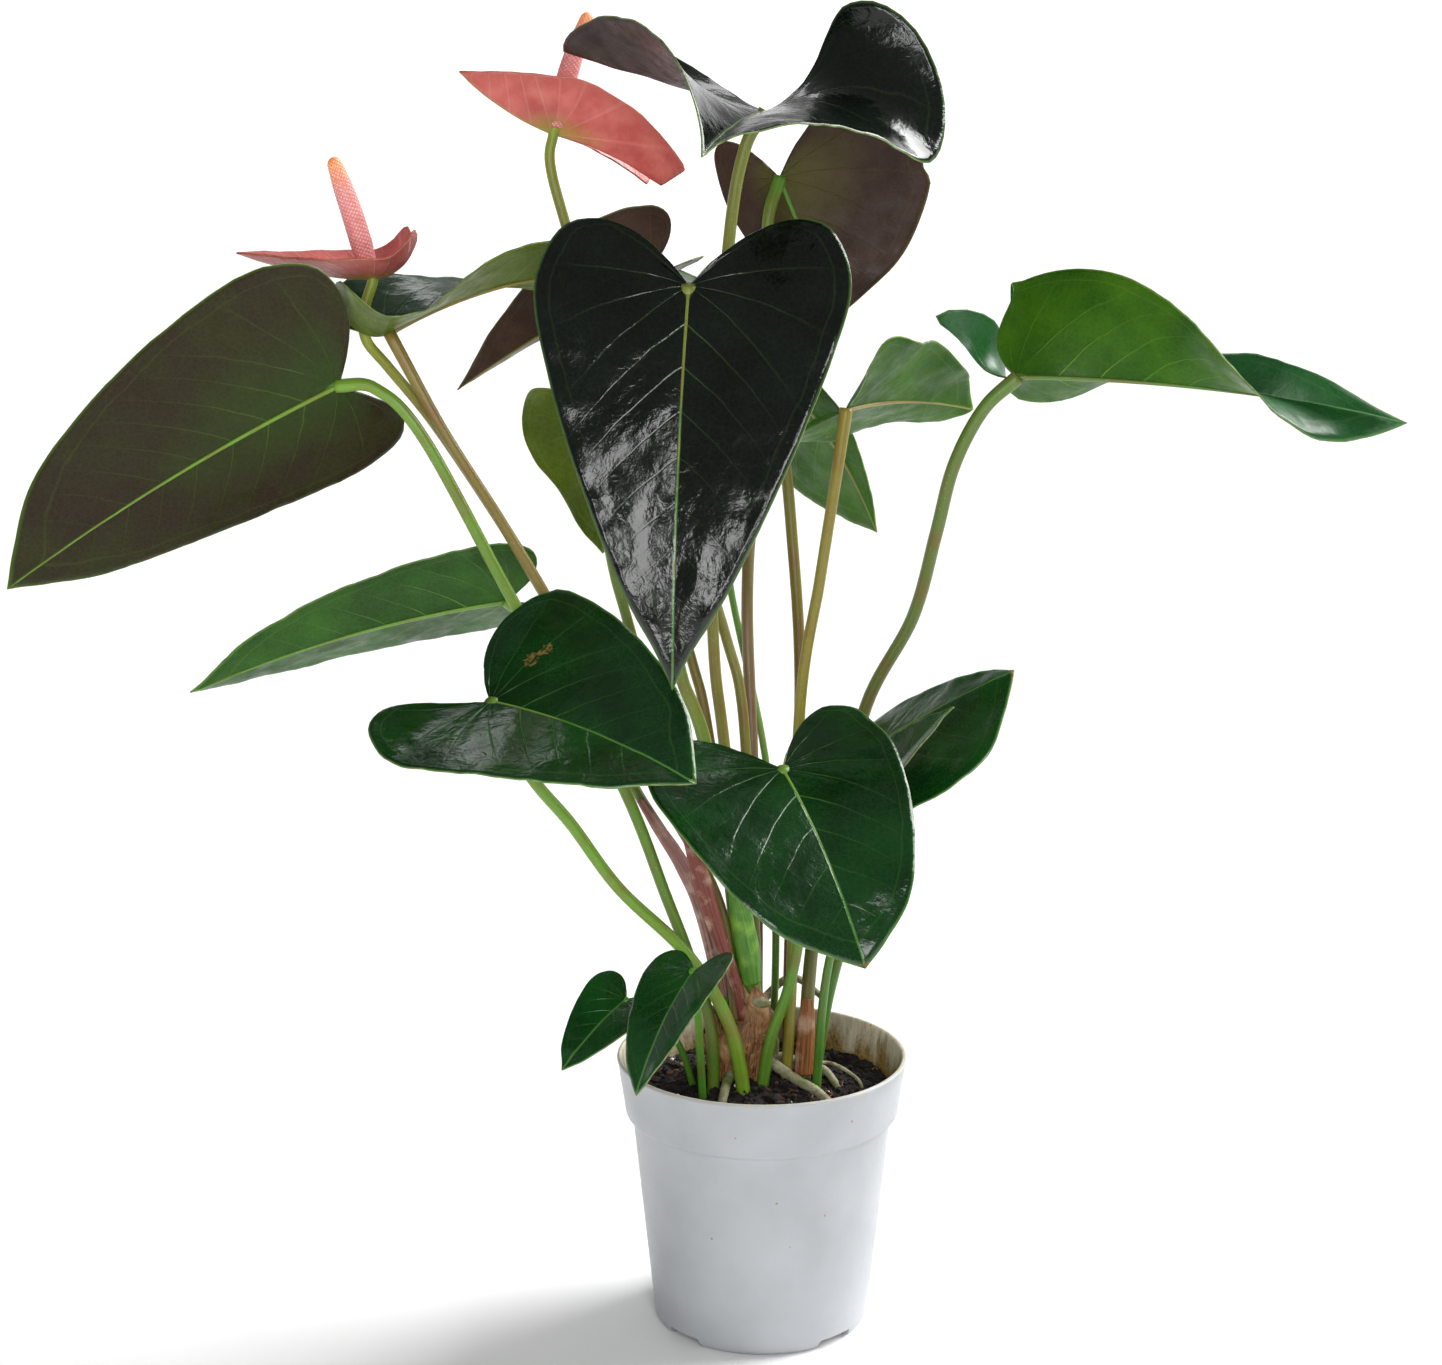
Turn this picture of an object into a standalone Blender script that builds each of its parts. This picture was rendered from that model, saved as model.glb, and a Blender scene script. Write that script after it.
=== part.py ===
"""A potted anthurium: eighteen leaves and two flowers on long stalks, standing in a pot of soil.

Places in the tables are whole millimetres: x to the right, y away from the viewer, z up from the pot's
underside. Angles are degrees. The scene is in metres.
"""

import bpy
import bmesh
import numpy as np

MM = 0.001
GAP = 0.35                  # between pieces that touch

POT_HEIGHT = 116.0
RIM_RADIUS = 60.0
COLLAR_FOOT = 92.0          # height of the collar's lower edge
FOOT_RADIUS = 44.8          # the wall's outer radius, carried down to the ground
WALL_SLOPE = 0.102          # radius gained per millimetre of height
WALL = 1.2
FLOOR_TOP = 6.0
FLOOR_UNDER = 4.5
PAD_RADIUS = 12.0
NOTCHES = 4
NOTCH_HEIGHT = 4.2
NOTCH_WIDTH = 18.0
NOTCH_TURN = -47.0          # the first notch, from the front towards the right
SEGMENTS = 36

SOIL_LEVEL = 100.0
MOUND = 8.0
MOUND_RADIUS = 25.0

BLADE = 0.8                 # thickness of a leaf blade
SPATHE = 1.0
STALK_SIDES = 6
STALK_STEPS = 10

CROWN_CENTRE = (-9.0, 4.0)
CROWN_TOP = 133.0

# Half of a heart-shaped outline, from the stalk round to the tip. Along: 1 is the blade's length ahead of
# the stalk, -1 the lobes' reach behind it. Across: 1 is the half width.
HEART = ((0, 0), (-0.45, 0.17), (-0.85, 0.40), (-1.0, 0.66), (-0.75, 0.88), (0.03, 1.0),
         (0.28, 0.84), (0.53, 0.60), (0.77, 0.32), (0.91, 0.11), (1, 0))
# What a full outline adds across, towards the tip.
FULLER = (0, 0, 0, 0, 0, 0, 0.07, 0.14, 0.17, 0.1, 0)
# The notch between the lobes has straight sides out to this share of the lobes' reach.
NOTCH_REACH = 0.9

# A blade's form. Pairs are left and right of the midrib, seen from above with the tip ahead.
PLAIN = dict(
    wide=(50, 50),          # half widths
    back=(25, 25),          # the lobes' reach behind the stalk
    full=(0, 0),            # fullness towards the tip
    roll=0,                 # turn about the line from stalk to tip
    droop=20,               # bend of the midrib from end to end
    twist=0,                # turn of the tip about the midrib
    twist_from=0,           # share of the length where the twist starts
    twist_back=-0.12,       # share of the twist that the lobes have
    fold=(12, 12),          # each half's rise from the midrib
    curl=(0, 0),            # more rise from the midrib to the margin
    cup=(0, 0),             # more rise towards the lobes
    lift=(0, 0),            # more rise towards the tip
    lobe=0,                 # how far the lobes bend up
    wave=0,                 # height of the margin's waves
)

# Each leaf: where its blade meets its stalk, its tip, its form, and its stalk from the ground up.
LEAVES = {
    "leaf_front_large": dict(
        at=(-29, -50, 438), tip=(-35, -95, 293), wide=(62, 58), back=(26, 26), droop=26, fold=(6, 6),
        stalk=((-3, -4, 125), (-4, -4, 145), (-11, -8, 190), (-24, -14, 255), (-33, -18, 282),
               (-36, -25, 313), (-33, -35, 386)),
        radius=(3.5, 3.6, 3.5, 2.8, 2.6, 2.5, 2.5, 2.9), columns=12, colour="#0C1410"),
    "leaf_front_left": dict(
        at=(-106, -49, 278), tip=(-26, -109, 261), wide=(55, 54), back=(26, 26), roll=14, droop=20,
        lobe=30, full=(0.8, 0.8), fold=(26, -2), curl=(10, 0),
        stalk=((-6, -14, 93), (-13, -16, 132), (-30, -18, 164), (-58, -22, 194), (-77, -25, 222),
               (-93, -33, 245)),
        radius=(3.0, 2.8, 2.6, 2.5, 2.5, 2.5, 2.9), columns=12, colour="#0F3D18"),
    "leaf_front_right": dict(
        at=(7, -50, 251), tip=(37, -110, 190), wide=(44, 56), back=(26, 26), roll=12, droop=40,
        full=(1.4, 1.4), fold=(8, 8),
        stalk=((-1, -10, 93), (3, -11, 124), (11, -13, 150), (15, -19, 178), (14, -33, 215)),
        radius=(2.6, 2.4, 2.3, 2.3, 2.3, 2.7), columns=12, colour="#0F3D18"),
    "leaf_right_low": dict(
        at=(49, 5, 249), tip=(100, -15, 283), wide=(25, 42), back=(15, 15), roll=50, droop=10,
        full=(1, 3), fold=(-30, 10),
        stalk=((22, 12, 93), (28, 12, 135), (40, 12, 184), (48, 11, 224)),
        radius=(2.3, 2.2, 2.1, 2.1, 2.4), columns=10, colour="#14501F"),
    "leaf_right_low_small": dict(
        at=(40, -25, 229), tip=(74, -40, 274), wide=(24, 16), back=(15, 15), roll=30, droop=10,
        fold=(10, 10),
        stalk=((22, -8, 93), (26, -9, 150), (35, -14, 195)),
        radius=(1.9, 1.8, 1.7, 2.0), columns=8, colour="#14501F"),
    "leaf_far_right": dict(
        at=(100, 0, 398), tip=(248, -30, 384), wide=(26, 44), back=(38, 16), roll=-70, twist=150,
        twist_from=0.25, twist_back=-0.3, droop=30, lobe=60, full=(0.6, 1.4), fold=(62, 12), cup=(140, 0),
        stalk=((17, -1, 93), (21, 6, 161), (32, 23, 210), (44, 33, 258), (62, 26, 296), (70, 13, 333),
               (76, 5, 362), (87, 2, 385)),
        radius=(3.0, 2.8, 2.7, 2.7, 2.7, 2.7, 2.7, 2.7, 3.1), columns=14, colour="#3D8A4E"),
    "leaf_right_upper": dict(
        at=(33, 10, 384), tip=(91, 90, 374), wide=(45, 37), back=(8, 8), roll=-40, droop=20, full=(1, 1),
        fold=(12, 12), wave=2,
        stalk=((9, -3, 93), (12, -1, 140), (15, 6, 259), (23, 6, 316), (29, 5, 357)),
        radius=(2.4, 2.3, 2.3, 2.3, 2.3, 2.7), columns=10, colour="#4F7A33"),
    "leaf_right_hanging": dict(
        at=(18, 79, 379), tip=(51, 99, 319), wide=(50, 17), back=(18, 18), roll=-10, droop=20,
        full=(3.5, 0), fold=(5, 5),
        stalk=((-2, 11, 125), (-2, 19, 178), (-4, 31, 241), (-6, 46, 298), (-3, 65, 334), (8, 77, 363)),
        radius=(2.5, 2.5, 2.5, 2.5, 2.5, 2.5, 2.8), columns=10, colour="#3F6B35"),
    "leaf_back_brown": dict(
        at=(7, 60, 473), tip=(30, 60, 415), wide=(26, 66), back=(22, 22), roll=-80, droop=20,
        full=(1.2, 1.2), fold=(10, 10),
        stalk=((11, 9, 93), (12, 16, 165), (16, 34, 264), (12, 49, 334), (6, 54, 391), (2, 55, 450)),
        radius=(2.5, 2.4, 2.4, 2.4, 2.4, 2.4, 2.8), columns=12, colour="#5A463C"),
    "leaf_top_dark": dict(
        at=(0, 0, 501), tip=(-24, -90, 487), wide=(75, 84), back=(32, 24), droop=14, lobe=15,
        full=(-0.8, -0.2), fold=(16, 13), lift=(5, 68), curl=(-70, 0), cup=(32, 8),
        stalk=((-8, 5, 125), (-9, 7, 188), (-16, 11, 249), (-20, 12, 287), (-21, 10, 356), (-14, 2, 450),
               (-8, 0, 486)),
        radius=(2.5, 2.4, 2.4, 2.4, 2.4, 2.4, 2.4, 2.8), columns=14, colour="#15161C"),
    "leaf_far_left": dict(
        at=(-167, -10, 396), tip=(-304, 0, 313), wide=(58, 44), back=(24, 8), roll=60, droop=20,
        full=(1.2, 1.2), fold=(8, 5), cup=(0, 40),
        stalk=((-20, -12, 93), (-21, -11, 130), (-29, -10, 158), (-39, -10, 186), (-59, -12, 239),
               (-97, -14, 306), (-133, -14, 375), (-152, -12, 395)),
        radius=(2.6, 2.5, 2.4, 2.4, 2.4, 2.4, 2.4, 2.4, 2.8), columns=12, colour="#33301C"),
    "leaf_left_low": dict(
        at=(-105, 20, 304), tip=(-232, 0, 270), wide=(34, 34), back=(16, 16), roll=48, droop=20,
        full=(1, 1), fold=(8, 18),
        stalk=((-17, -2, 125), (-17, -2, 145), (-28, -1, 188), (-50, 7, 224), (-66, 14, 250),
               (-93, 22, 292)),
        radius=(2.3, 2.2, 2.2, 2.2, 2.2, 2.2, 2.6), columns=10, colour="#35511F"),
    "leaf_hanging_left": dict(
        at=(-66, 26, 374), tip=(-66, 36, 321), wide=(34, 34), back=(18, 18), roll=10, droop=20,
        fold=(5, 5), wave=3,
        stalk=((-15, 12, 125), (-21, 13, 179), (-37, 17, 228), (-55, 22, 294), (-61, 20, 318),
               (-65, 20, 345)),
        radius=(2.3, 2.2, 2.2, 2.2, 2.2, 2.2, 2.5), columns=10, colour="#6E7D35"),
    "leaf_upper_left": dict(
        at=(-147, -5, 416), tip=(-49, 20, 437), wide=(40, 34), back=(20, 20), twist=-70, twist_from=0.1,
        droop=35, lobe=25, full=(0.8, 0.8), fold=(25, 5), cup=(0, 90),
        stalk=((-11, -6, 125), (-12, -6, 145), (-19, -7, 187), (-47, -8, 239), (-87, -8, 312),
               (-105, -8, 343), (-127, -8, 379)),
        radius=(2.3, 2.2, 2.2, 2.2, 2.2, 2.2, 2.2, 2.6), columns=12, colour="#66762F"),
    "leaf_back_left": dict(
        at=(-50, 60, 431), tip=(-127, 60, 386), wide=(34, 34), back=(24, 24), roll=60, droop=20,
        fold=(8, 60),
        stalk=((-1, 4, 125), (-4, 12, 187), (-8, 24, 257), (-15, 31, 287), (-30, 44, 334), (-42, 54, 383)),
        radius=(2.3, 2.2, 2.2, 2.2, 2.2, 2.2, 2.5), columns=10, colour="#44353A"),
    "leaf_back_middle": dict(
        at=(-21, 96, 427), tip=(0, 122, 404), wide=(25, 25), back=(14, 14), droop=20, fold=(8, 8),
        stalk=((4, 15, 93), (6, 18, 165), (2, 32, 232), (-13, 54, 303), (-17, 68, 341), (-20, 87, 390)),
        radius=(1.7, 1.6, 1.5, 1.5, 1.5, 1.5, 1.8), columns=8, colour="#4F7A33"),
    "leaf_small_front": dict(
        at=(-28, -46, 167), tip=(-50, -80, 128), wide=(20, 22), back=(10, 10), roll=5, droop=30,
        full=(0.8, 0.8), fold=(15, 0),
        stalk=((-24, -17, 93), (-26, -28, 135), (-27, -38, 155)),
        radius=(1.7, 1.6, 1.5, 1.8), columns=8, colour="#0F3D18"),
    "leaf_small_left": dict(
        at=(-56, -20, 146), tip=(-81, -40, 123), wide=(17, 17), back=(8, 8), roll=-20, droop=30,
        full=(0.6, 0.6), fold=(12, 12),
        stalk=((-26, -3, 93), (-36, -8, 125)),
        radius=(1.5, 1.4, 1.6), columns=8, colour="#14501F"),
}

# Each flower: its spathe like a leaf's blade, its stalk from the ground up, and its spadix.
FLOWERS = {
    "flower_left": dict(
        at=(-154, -5, 437), tip=(-204, -15, 448), wide=(20, 20), back=(32, 32), droop=-20, lobe=28,
        full=(0.6, 0.6), fold=(26, 30), columns=12,
        stalk=((-18, 6, 125), (-18, 6, 145), (-31, 6, 213), (-48, 4, 240), (-88, -1, 311), (-106, -1, 342),
               (-131, 1, 380), (-148, -1, 402), (-156, -7, 414), (-156, -7, 426)),
        radius=(2.2, 2.1),
        spadix=((-154, -5, 440), (-160, -6, 462), (-167, -7, 484)), spadix_radius=(3.4, 4.3, 4.2, 3.8, 2.6)),
    "flower_back": dict(
        at=(-85, 48, 491), tip=(-121, 34, 516), wide=(28, 28), back=(56, 50), droop=-25, lobe=-6,
        full=(0.6, 0.6), fold=(55, 40), columns=12,
        stalk=((-8, 14, 125), (-14, 18, 188), (-23, 25, 252), (-30, 31, 280), (-51, 42, 353),
               (-78, 43, 448), (-86, 46, 478)),
        radius=(2.2, 2.1),
        spadix=((-84, 48, 494), (-78, 49, 517), (-70, 50, 539)), spadix_radius=(3.4, 4.2, 4.1, 3.6, 2.4)),
}

# Roots that grow from the short stem into the soil, and the stub of an old stalk.
ROOTS = (
    (((-4, 0, 118), (4, -6, 114), (14, -13, 109), (24, -19, 105), (31, -22, 97)), 2.2),
    (((-3, 4, 113), (7, 4, 113), (14, 5, 111), (21, 6, 109), (28, 2, 106), (34, -4, 98)), 1.8),
    (((-9, -2, 112), (-14, -13, 109), (-16, -22, 105), (-18, -27, 97)), 2.1),
    (((-2, 3, 125), (5, 3, 122), (6, 4, 112), (6, 6, 98)), 1.5),
    (((20, 6, 109), (30, 8, 108), (40, 1, 104), (43, -3, 98)), 0.8),
    (((-6, 12, 122), (3, 22, 134), (14, 23, 141), (26, 21, 133)), 1.8),
)

# Papery sheaths: a strip bent round a line, opening backwards, with its radius at each point.
SHEATHS = {
    "sheath_red": dict(
        line=((-8, -8, 133.8), (-11, -10, 150), (-17, -12, 168), (-25, -15, 196), (-36, -18, 238)),
        radius=(1.6, 2.4, 3.4, 4.2, 3.0, 0.8), colour="#8E4A38"),
    "sheath_pink": dict(
        around="leaf_left_low", heights=(142, 224), radius=(3.4, 3.4, 3.4, 3.3), colour="#C08A80"),
    "sheath_orange": dict(
        around="leaf_far_right", heights=(106, 140), radius=(4.0, 3.9, 3.9, 3.8), colour="#B06A30"),
}
SHEATH = 0.7


def clear_scene():
    for thing in list(bpy.data.objects):
        bpy.data.objects.remove(thing)


def linear(channel):
    return channel / 12.92 if channel <= 0.04045 else ((channel + 0.055) / 1.055) ** 2.4


def material(name, colour, roughness):
    made = bpy.data.materials.new(name)
    made.use_nodes = True
    shader = made.node_tree.nodes["Principled BSDF"]
    red, green, blue = (linear(int(colour[i:i + 2], 16) / 255) for i in (1, 3, 5))
    shader.inputs["Base Color"].default_value = (red, green, blue, 1)
    shader.inputs["Roughness"].default_value = roughness
    shader.inputs["Metallic"].default_value = 0
    made.diffuse_color = (red, green, blue, 1)
    return made


def make(name, points, faces, look, sharp=50):
    mesh = bpy.data.meshes.new(name)
    mesh.from_pydata([tuple(float(c) * MM for c in point) for point in points], [], faces)
    made = bpy.data.objects.new(name, mesh)
    bpy.context.scene.collection.objects.link(made)
    mesh.materials.append(look)
    mesh.shade_smooth()
    mesh.set_sharp_from_angle(angle=np.radians(sharp))
    return made


def settle(thing):
    """Replaces the object's mesh by what its modifiers make of it."""
    bpy.context.view_layer.update()
    graph = bpy.context.evaluated_depsgraph_get()
    mesh = bpy.data.meshes.new_from_object(thing.evaluated_get(graph))
    thing.modifiers.clear()
    thing.data = mesh


def combine(thing, other, operation):
    """Joins or cuts, and removes the other object."""
    boolean = thing.modifiers.new(operation.lower(), "BOOLEAN")
    boolean.operation = operation
    boolean.solver = "EXACT"
    boolean.object = other
    settle(thing)
    bpy.data.objects.remove(other)


def smooth_line(points, count):
    """Points on a smooth curve through the given ones, at equal steps of its parameter."""
    points = np.array(points, float)
    ends = np.vstack([2 * points[0] - points[1], points, 2 * points[-1] - points[-2]])
    line = []
    for place in np.linspace(0, len(points) - 1, count):
        i = min(int(place), len(points) - 2)
        t = place - i
        a, b, c, d = ends[i:i + 4]
        line.append(0.5 * (2 * b + (c - a) * t + (2 * a - 5 * b + 4 * c - d) * t**2
                           + (3 * b - a - 3 * c + d) * t**3))
    return np.array(line)


def even_line(points, count):
    """Points at equal distances on the smooth curve."""
    fine = smooth_line(points, 300)
    walked = np.concatenate([[0], np.cumsum(np.linalg.norm(np.diff(fine, axis=0), axis=1))])
    places = np.linspace(0, walked[-1], count)
    return np.stack([np.interp(places, walked, fine[:, i]) for i in range(fine.shape[1])], -1)


def half_outline(count, length, wide, back, full):
    points = np.array(HEART, float)
    points[:, 1] += full * np.array(FULLER)
    points[:, 0] *= np.where(points[:, 0] < 0, back, length)
    points[:, 1] *= wide
    return even_line(points, count)


def midrib(form):
    """The midrib's points in its own upright plane, with its slopes, from behind the stalk to the tip."""
    share = np.linspace(-1, 1, 201)
    ahead = np.maximum(share, 0)
    behind = np.maximum(-share, 0)
    slope = np.radians(form["droop"]) * (0.5 - ahead) - np.radians(form["lobe"]) * behind / 0.2
    slope = np.maximum(slope, -2.4)
    step = np.stack([np.cos(slope), np.sin(slope)], -1)
    line = np.vstack([[0, 0], np.cumsum((step[1:] + step[:-1]) / 200, axis=0)])
    line -= line[100]
    chord = np.linalg.norm(np.subtract(form["tip"], form["at"]))
    length = chord / np.linalg.norm(line[-1])
    line *= length
    tilt = np.arctan2(line[-1, 1], line[-1, 0])
    turn = np.array([[np.cos(tilt), np.sin(tilt)], [-np.sin(tilt), np.cos(tilt)]])
    return share, line @ turn.T, slope - tilt, length


def bowed(distance, first, rate):
    """Across and up after a distance along an arc that starts at one angle and turns at a rate."""
    rate = np.where(np.abs(rate) < 1e-6, 1e-6, rate)
    last = first + rate * distance
    return (np.sin(last) - np.sin(first)) / rate, (np.cos(first) - np.cos(last)) / rate


def bend_blade(along, across, left, ring, turn, form):
    """Where points of the flat outline come in the bent blade."""
    share, line, slope, length = midrib(form)
    pick = [np.where(left, *form[key]) for key in ("wide", "fold", "curl", "cup", "lift")]
    wide, fold, curl, cup, lift = pick
    rear = np.clip(0.5 - (along / length) / 0.4, 0, 1.5) ** 2
    rise = np.radians(fold + cup * rear + lift * np.clip(along / length, 0, 1))
    out, up = bowed(np.abs(across), rise, np.radians(curl) / wide)
    out = np.where(left, out, -out)
    up = up + form["wave"] * ring**3 * np.sin(6 * np.pi * turn)
    place = along / length
    twisted = np.maximum((place - form["twist_from"]) / (1 - form["twist_from"]), form["twist_back"])
    angle = np.radians(form["twist"]) * twisted
    out, up = out * np.cos(angle) - up * np.sin(angle), out * np.sin(angle) + up * np.cos(angle)
    tilt = np.interp(place, share, slope)
    ahead = np.interp(place, share, line[:, 0]) - up * np.sin(tilt)
    height = np.interp(place, share, line[:, 1]) + up * np.cos(tilt)
    return np.stack([ahead, out, height], -1)


def directions(form):
    """The blade's own ahead, left and up in the room."""
    ahead = np.subtract(form["tip"], form["at"]).astype(float)
    ahead /= np.linalg.norm(ahead)
    up = np.array([0, 0, 1.0]) - ahead * ahead[2]
    up /= np.linalg.norm(up)
    left = np.cross(up, ahead)
    roll = np.radians(form["roll"])
    return np.stack([ahead, left * np.cos(roll) + up * np.sin(roll), up * np.cos(roll) - left * np.sin(roll)])


def blade(name, form, thickness, look):
    """A closed thin blade: rings of points round the stalk's place, with the notch between the lobes open."""
    form = {**PLAIN, **form}
    columns = form["columns"]
    rings = (0.38, 0.72, 1)
    length = midrib(form)[3]
    left, right = (half_outline(columns + 1, length, form["wide"][i], form["back"][i], form["full"][i])
                   for i in (0, 1))
    right = right[::-1][1:] * (1, -1)
    rim = np.vstack([left, right])[1:-1]
    turn = np.linspace(-1, 1, len(rim) + 2)[1:-1]
    on_left = np.arange(len(rim)) < columns
    reach = np.linalg.norm(rim, axis=1) / np.where(on_left, *form["back"])
    kept = (reach > NOTCH_REACH) | (rim[:, 0] > 0)
    rim, turn, on_left = rim[kept], turn[kept], on_left[kept]
    points = [np.zeros(3)]
    for ring in rings:
        points.extend(bend_blade(rim[:, 0] * ring, rim[:, 1] * ring, on_left, ring, turn, form))
    points = np.array(form["at"]) + np.array(points) @ directions(form)
    count = len(rim)
    faces = [(0, i + 2, i + 1) for i in range(count - 1)]
    for ring in range(len(rings) - 1):
        for i in range(count - 1):
            near, far = 1 + ring * count + i, 1 + (ring + 1) * count + i
            faces += [(near, near + 1, far + 1), (near, far + 1, far)]
    made = make(name, points, faces, look)
    solid = made.modifiers.new("thickness", "SOLIDIFY")
    solid.thickness = thickness * MM
    solid.offset = 0
    settle(made)
    return made


def sections(line, radii, sides):
    """Rings of points round a line, each turned as little as can be from the last."""
    ahead = np.gradient(line, axis=0)
    ahead /= np.linalg.norm(ahead, axis=1)[:, None]
    side = np.cross(ahead[0], (0, 1, 0))
    rings = []
    angles = 2 * np.pi * (np.arange(sides) + 0.5) / sides
    for place, way, radius in zip(line, ahead, radii):
        side = side - way * (side @ way)
        side /= np.linalg.norm(side)
        other = np.cross(way, side)
        rings.append([place + radius * (np.cos(a) * side + np.sin(a) * other) for a in angles])
    return rings


def tube(name, line, radii, look, sides=STALK_SIDES, steps=STALK_STEPS, grow=0, longer=0):
    """A closed tube round a smooth line. It grows and lengthens to cut the hole that takes it."""
    path = smooth_line(line, steps + 1)
    radii = np.interp(np.linspace(0, 1, steps + 1), np.linspace(0, 1, len(radii)), radii) + grow
    for end, inner in ((0, 1), (-1, -2)):
        way = path[end] - path[inner]
        path[end] += way / np.linalg.norm(way) * longer
    rings = sections(path, radii, sides)
    points = [point for ring in rings for point in ring] + [path[0], path[-1]]
    foot, top = len(points) - 2, len(points) - 1
    faces = []
    for step in range(steps):
        for i in range(sides):
            a, b = step * sides + i, step * sides + (i + 1) % sides
            faces += [(a, b, b + sides), (a, b + sides, a + sides)]
    last = steps * sides
    for i in range(sides):
        faces += [(foot, (i + 1) % sides, i), (top, last + i, last + (i + 1) % sides)]
    return make(name, points, faces, look)


def stalk_line(form, past=1.0):
    """The stalk's line up to the blade and a little past it."""
    line = [np.array(point, float) for point in form["stalk"]] + [np.array(form["at"], float)]
    way = line[-1] - line[-2]
    line[-1] = line[-1] + way / np.linalg.norm(way) * past
    return line


def flower_line(form):
    """The stalk's line up to the foot of the spadix, ending straight below it."""
    foot = np.array(form["spadix"][0], float)
    way = np.subtract(form["spadix"][1], foot)
    way /= np.linalg.norm(way)
    return [np.array(point, float) for point in form["stalk"]] + [foot - way * 4, foot - way * GAP]


def leaf(name, form):
    look = material(name, form["colour"], 0.35)
    made = blade(name, form, BLADE, look)
    combine(made, tube("stalk", stalk_line(form), form["radius"], look), "UNION")
    return made


def flower(name, form):
    """A stalk, a spathe notched round the stalk's top, and a spadix that stands on the stalk."""
    green = material(name + "_stalk", "#9A7A3A", 0.45)
    pink = material(name + "_spathe", "#C9605C", 0.35)
    rose = material(name + "_spadix", "#D98A8C", 0.6)
    line = flower_line(form)
    tube(name + "_stalk", line, form["radius"], green)
    tube(name + "_spadix", form["spadix"], form["spadix_radius"], rose, sides=10, steps=8)
    spathe = blade(name + "_spathe", form, SPATHE, pink)
    combine(spathe, tube("cut", line, form["radius"], pink, grow=GAP, longer=GAP), "DIFFERENCE")
    combine(spathe, tube("cut", form["spadix"], form["spadix_radius"], pink, sides=10, steps=8, grow=GAP,
                         longer=GAP), "DIFFERENCE")


def wall_radius(height):
    return FOOT_RADIUS + WALL_SLOPE * height


def turned(name, profile, look, segments=SEGMENTS):
    """A solid of revolution from a profile that starts and ends on the axis."""
    made = make(name, [(r, 0, z) for r, z in profile], [], look)
    mesh = made.data
    mesh.clear_geometry()
    mesh.from_pydata([(r * MM, 0, z * MM) for r, z in profile],
                     [(i, i + 1) for i in range(len(profile) - 1)], [])
    screw = made.modifiers.new("turn", "SCREW")
    screw.steps = segments
    screw.render_steps = segments
    screw.use_merge_vertices = True
    screw.merge_threshold = 0.00001
    settle(made)
    made.data.shade_smooth()
    made.data.set_sharp_from_angle(angle=np.radians(35))
    return made


def pot():
    look = material("pot", "#C5C8CC", 0.4)
    lip = POT_HEIGHT - 1.8
    collar = RIM_RADIUS - 3.1
    profile = [
        (0, FLOOR_TOP), (wall_radius(FLOOR_TOP) - WALL, FLOOR_TOP),
        (wall_radius(91) - WALL, 91), (wall_radius(91.6) - WALL, COLLAR_FOOT + 0.4),
        (collar - 1.7, COLLAR_FOOT + 0.6), (collar - 1.2, COLLAR_FOOT + 1.4),
        (RIM_RADIUS - 1.7, lip - 0.6), (RIM_RADIUS - 1.6, POT_HEIGHT - 0.6),
        (RIM_RADIUS - 0.9, POT_HEIGHT), (RIM_RADIUS, POT_HEIGHT - 0.2),
        (RIM_RADIUS + 0.4, POT_HEIGHT - 1.0), (RIM_RADIUS, lip),
        (collar, COLLAR_FOOT + 0.2), (collar - 0.5, COLLAR_FOOT - 0.6),
        (wall_radius(91) + 0.5, COLLAR_FOOT - 1.0), (wall_radius(89), 89),
        (wall_radius(5), 5), (FOOT_RADIUS - 0.2, 2.2), (FOOT_RADIUS - 1.6, 0.6), (FOOT_RADIUS - 3.4, 0),
        (FOOT_RADIUS - 4.4, 0), (FOOT_RADIUS - 4.6, FLOOR_UNDER),
        (PAD_RADIUS, FLOOR_UNDER), (PAD_RADIUS, 0), (0, 0),
    ]
    made = turned("pot", profile, look)
    for i in range(NOTCHES):
        combine(made, notch(i, look), "DIFFERENCE")
    return made


def notch(i, look):
    """A block that cuts one notch through the foot ring."""
    near, far, half = FOOT_RADIUS - 8, FOOT_RADIUS + 4, NOTCH_WIDTH / 2
    angle = np.radians(NOTCH_TURN + 360 / NOTCHES * i - 90)
    out = np.array([np.cos(angle), np.sin(angle), 0])
    side = np.array([-np.sin(angle), np.cos(angle), 0])
    corners = []
    for z, narrower in ((-2, 0), (NOTCH_HEIGHT, 1)):
        for radius, across in ((near, -1), (far, -1), (far, 1), (near, 1)):
            corners.append(out * radius + side * across * (half - narrower) + np.array([0, 0, z]))
    faces = [(0, 3, 2, 1), (4, 5, 6, 7), (0, 1, 5, 4), (1, 2, 6, 5), (2, 3, 7, 6), (3, 0, 4, 7)]
    return make("cut", corners, faces, look)


def soil_height(x, y):
    """The soil's surface: a low mound round the stem, with clods."""
    mound = MOUND * np.exp(-((x + 4) ** 2 + y**2) / MOUND_RADIUS**2)
    clods = 0.8 * np.sin(x / 4.7 + 1) * np.sin(y / 5.3) + 0.5 * np.sin(x / 2.9 - y / 3.3 + 2)
    heap = 3.0 * np.exp(-((x + 38) ** 2 + (y - 18) ** 2) / 12**2)
    return SOIL_LEVEL + mound + clods + heap


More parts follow.
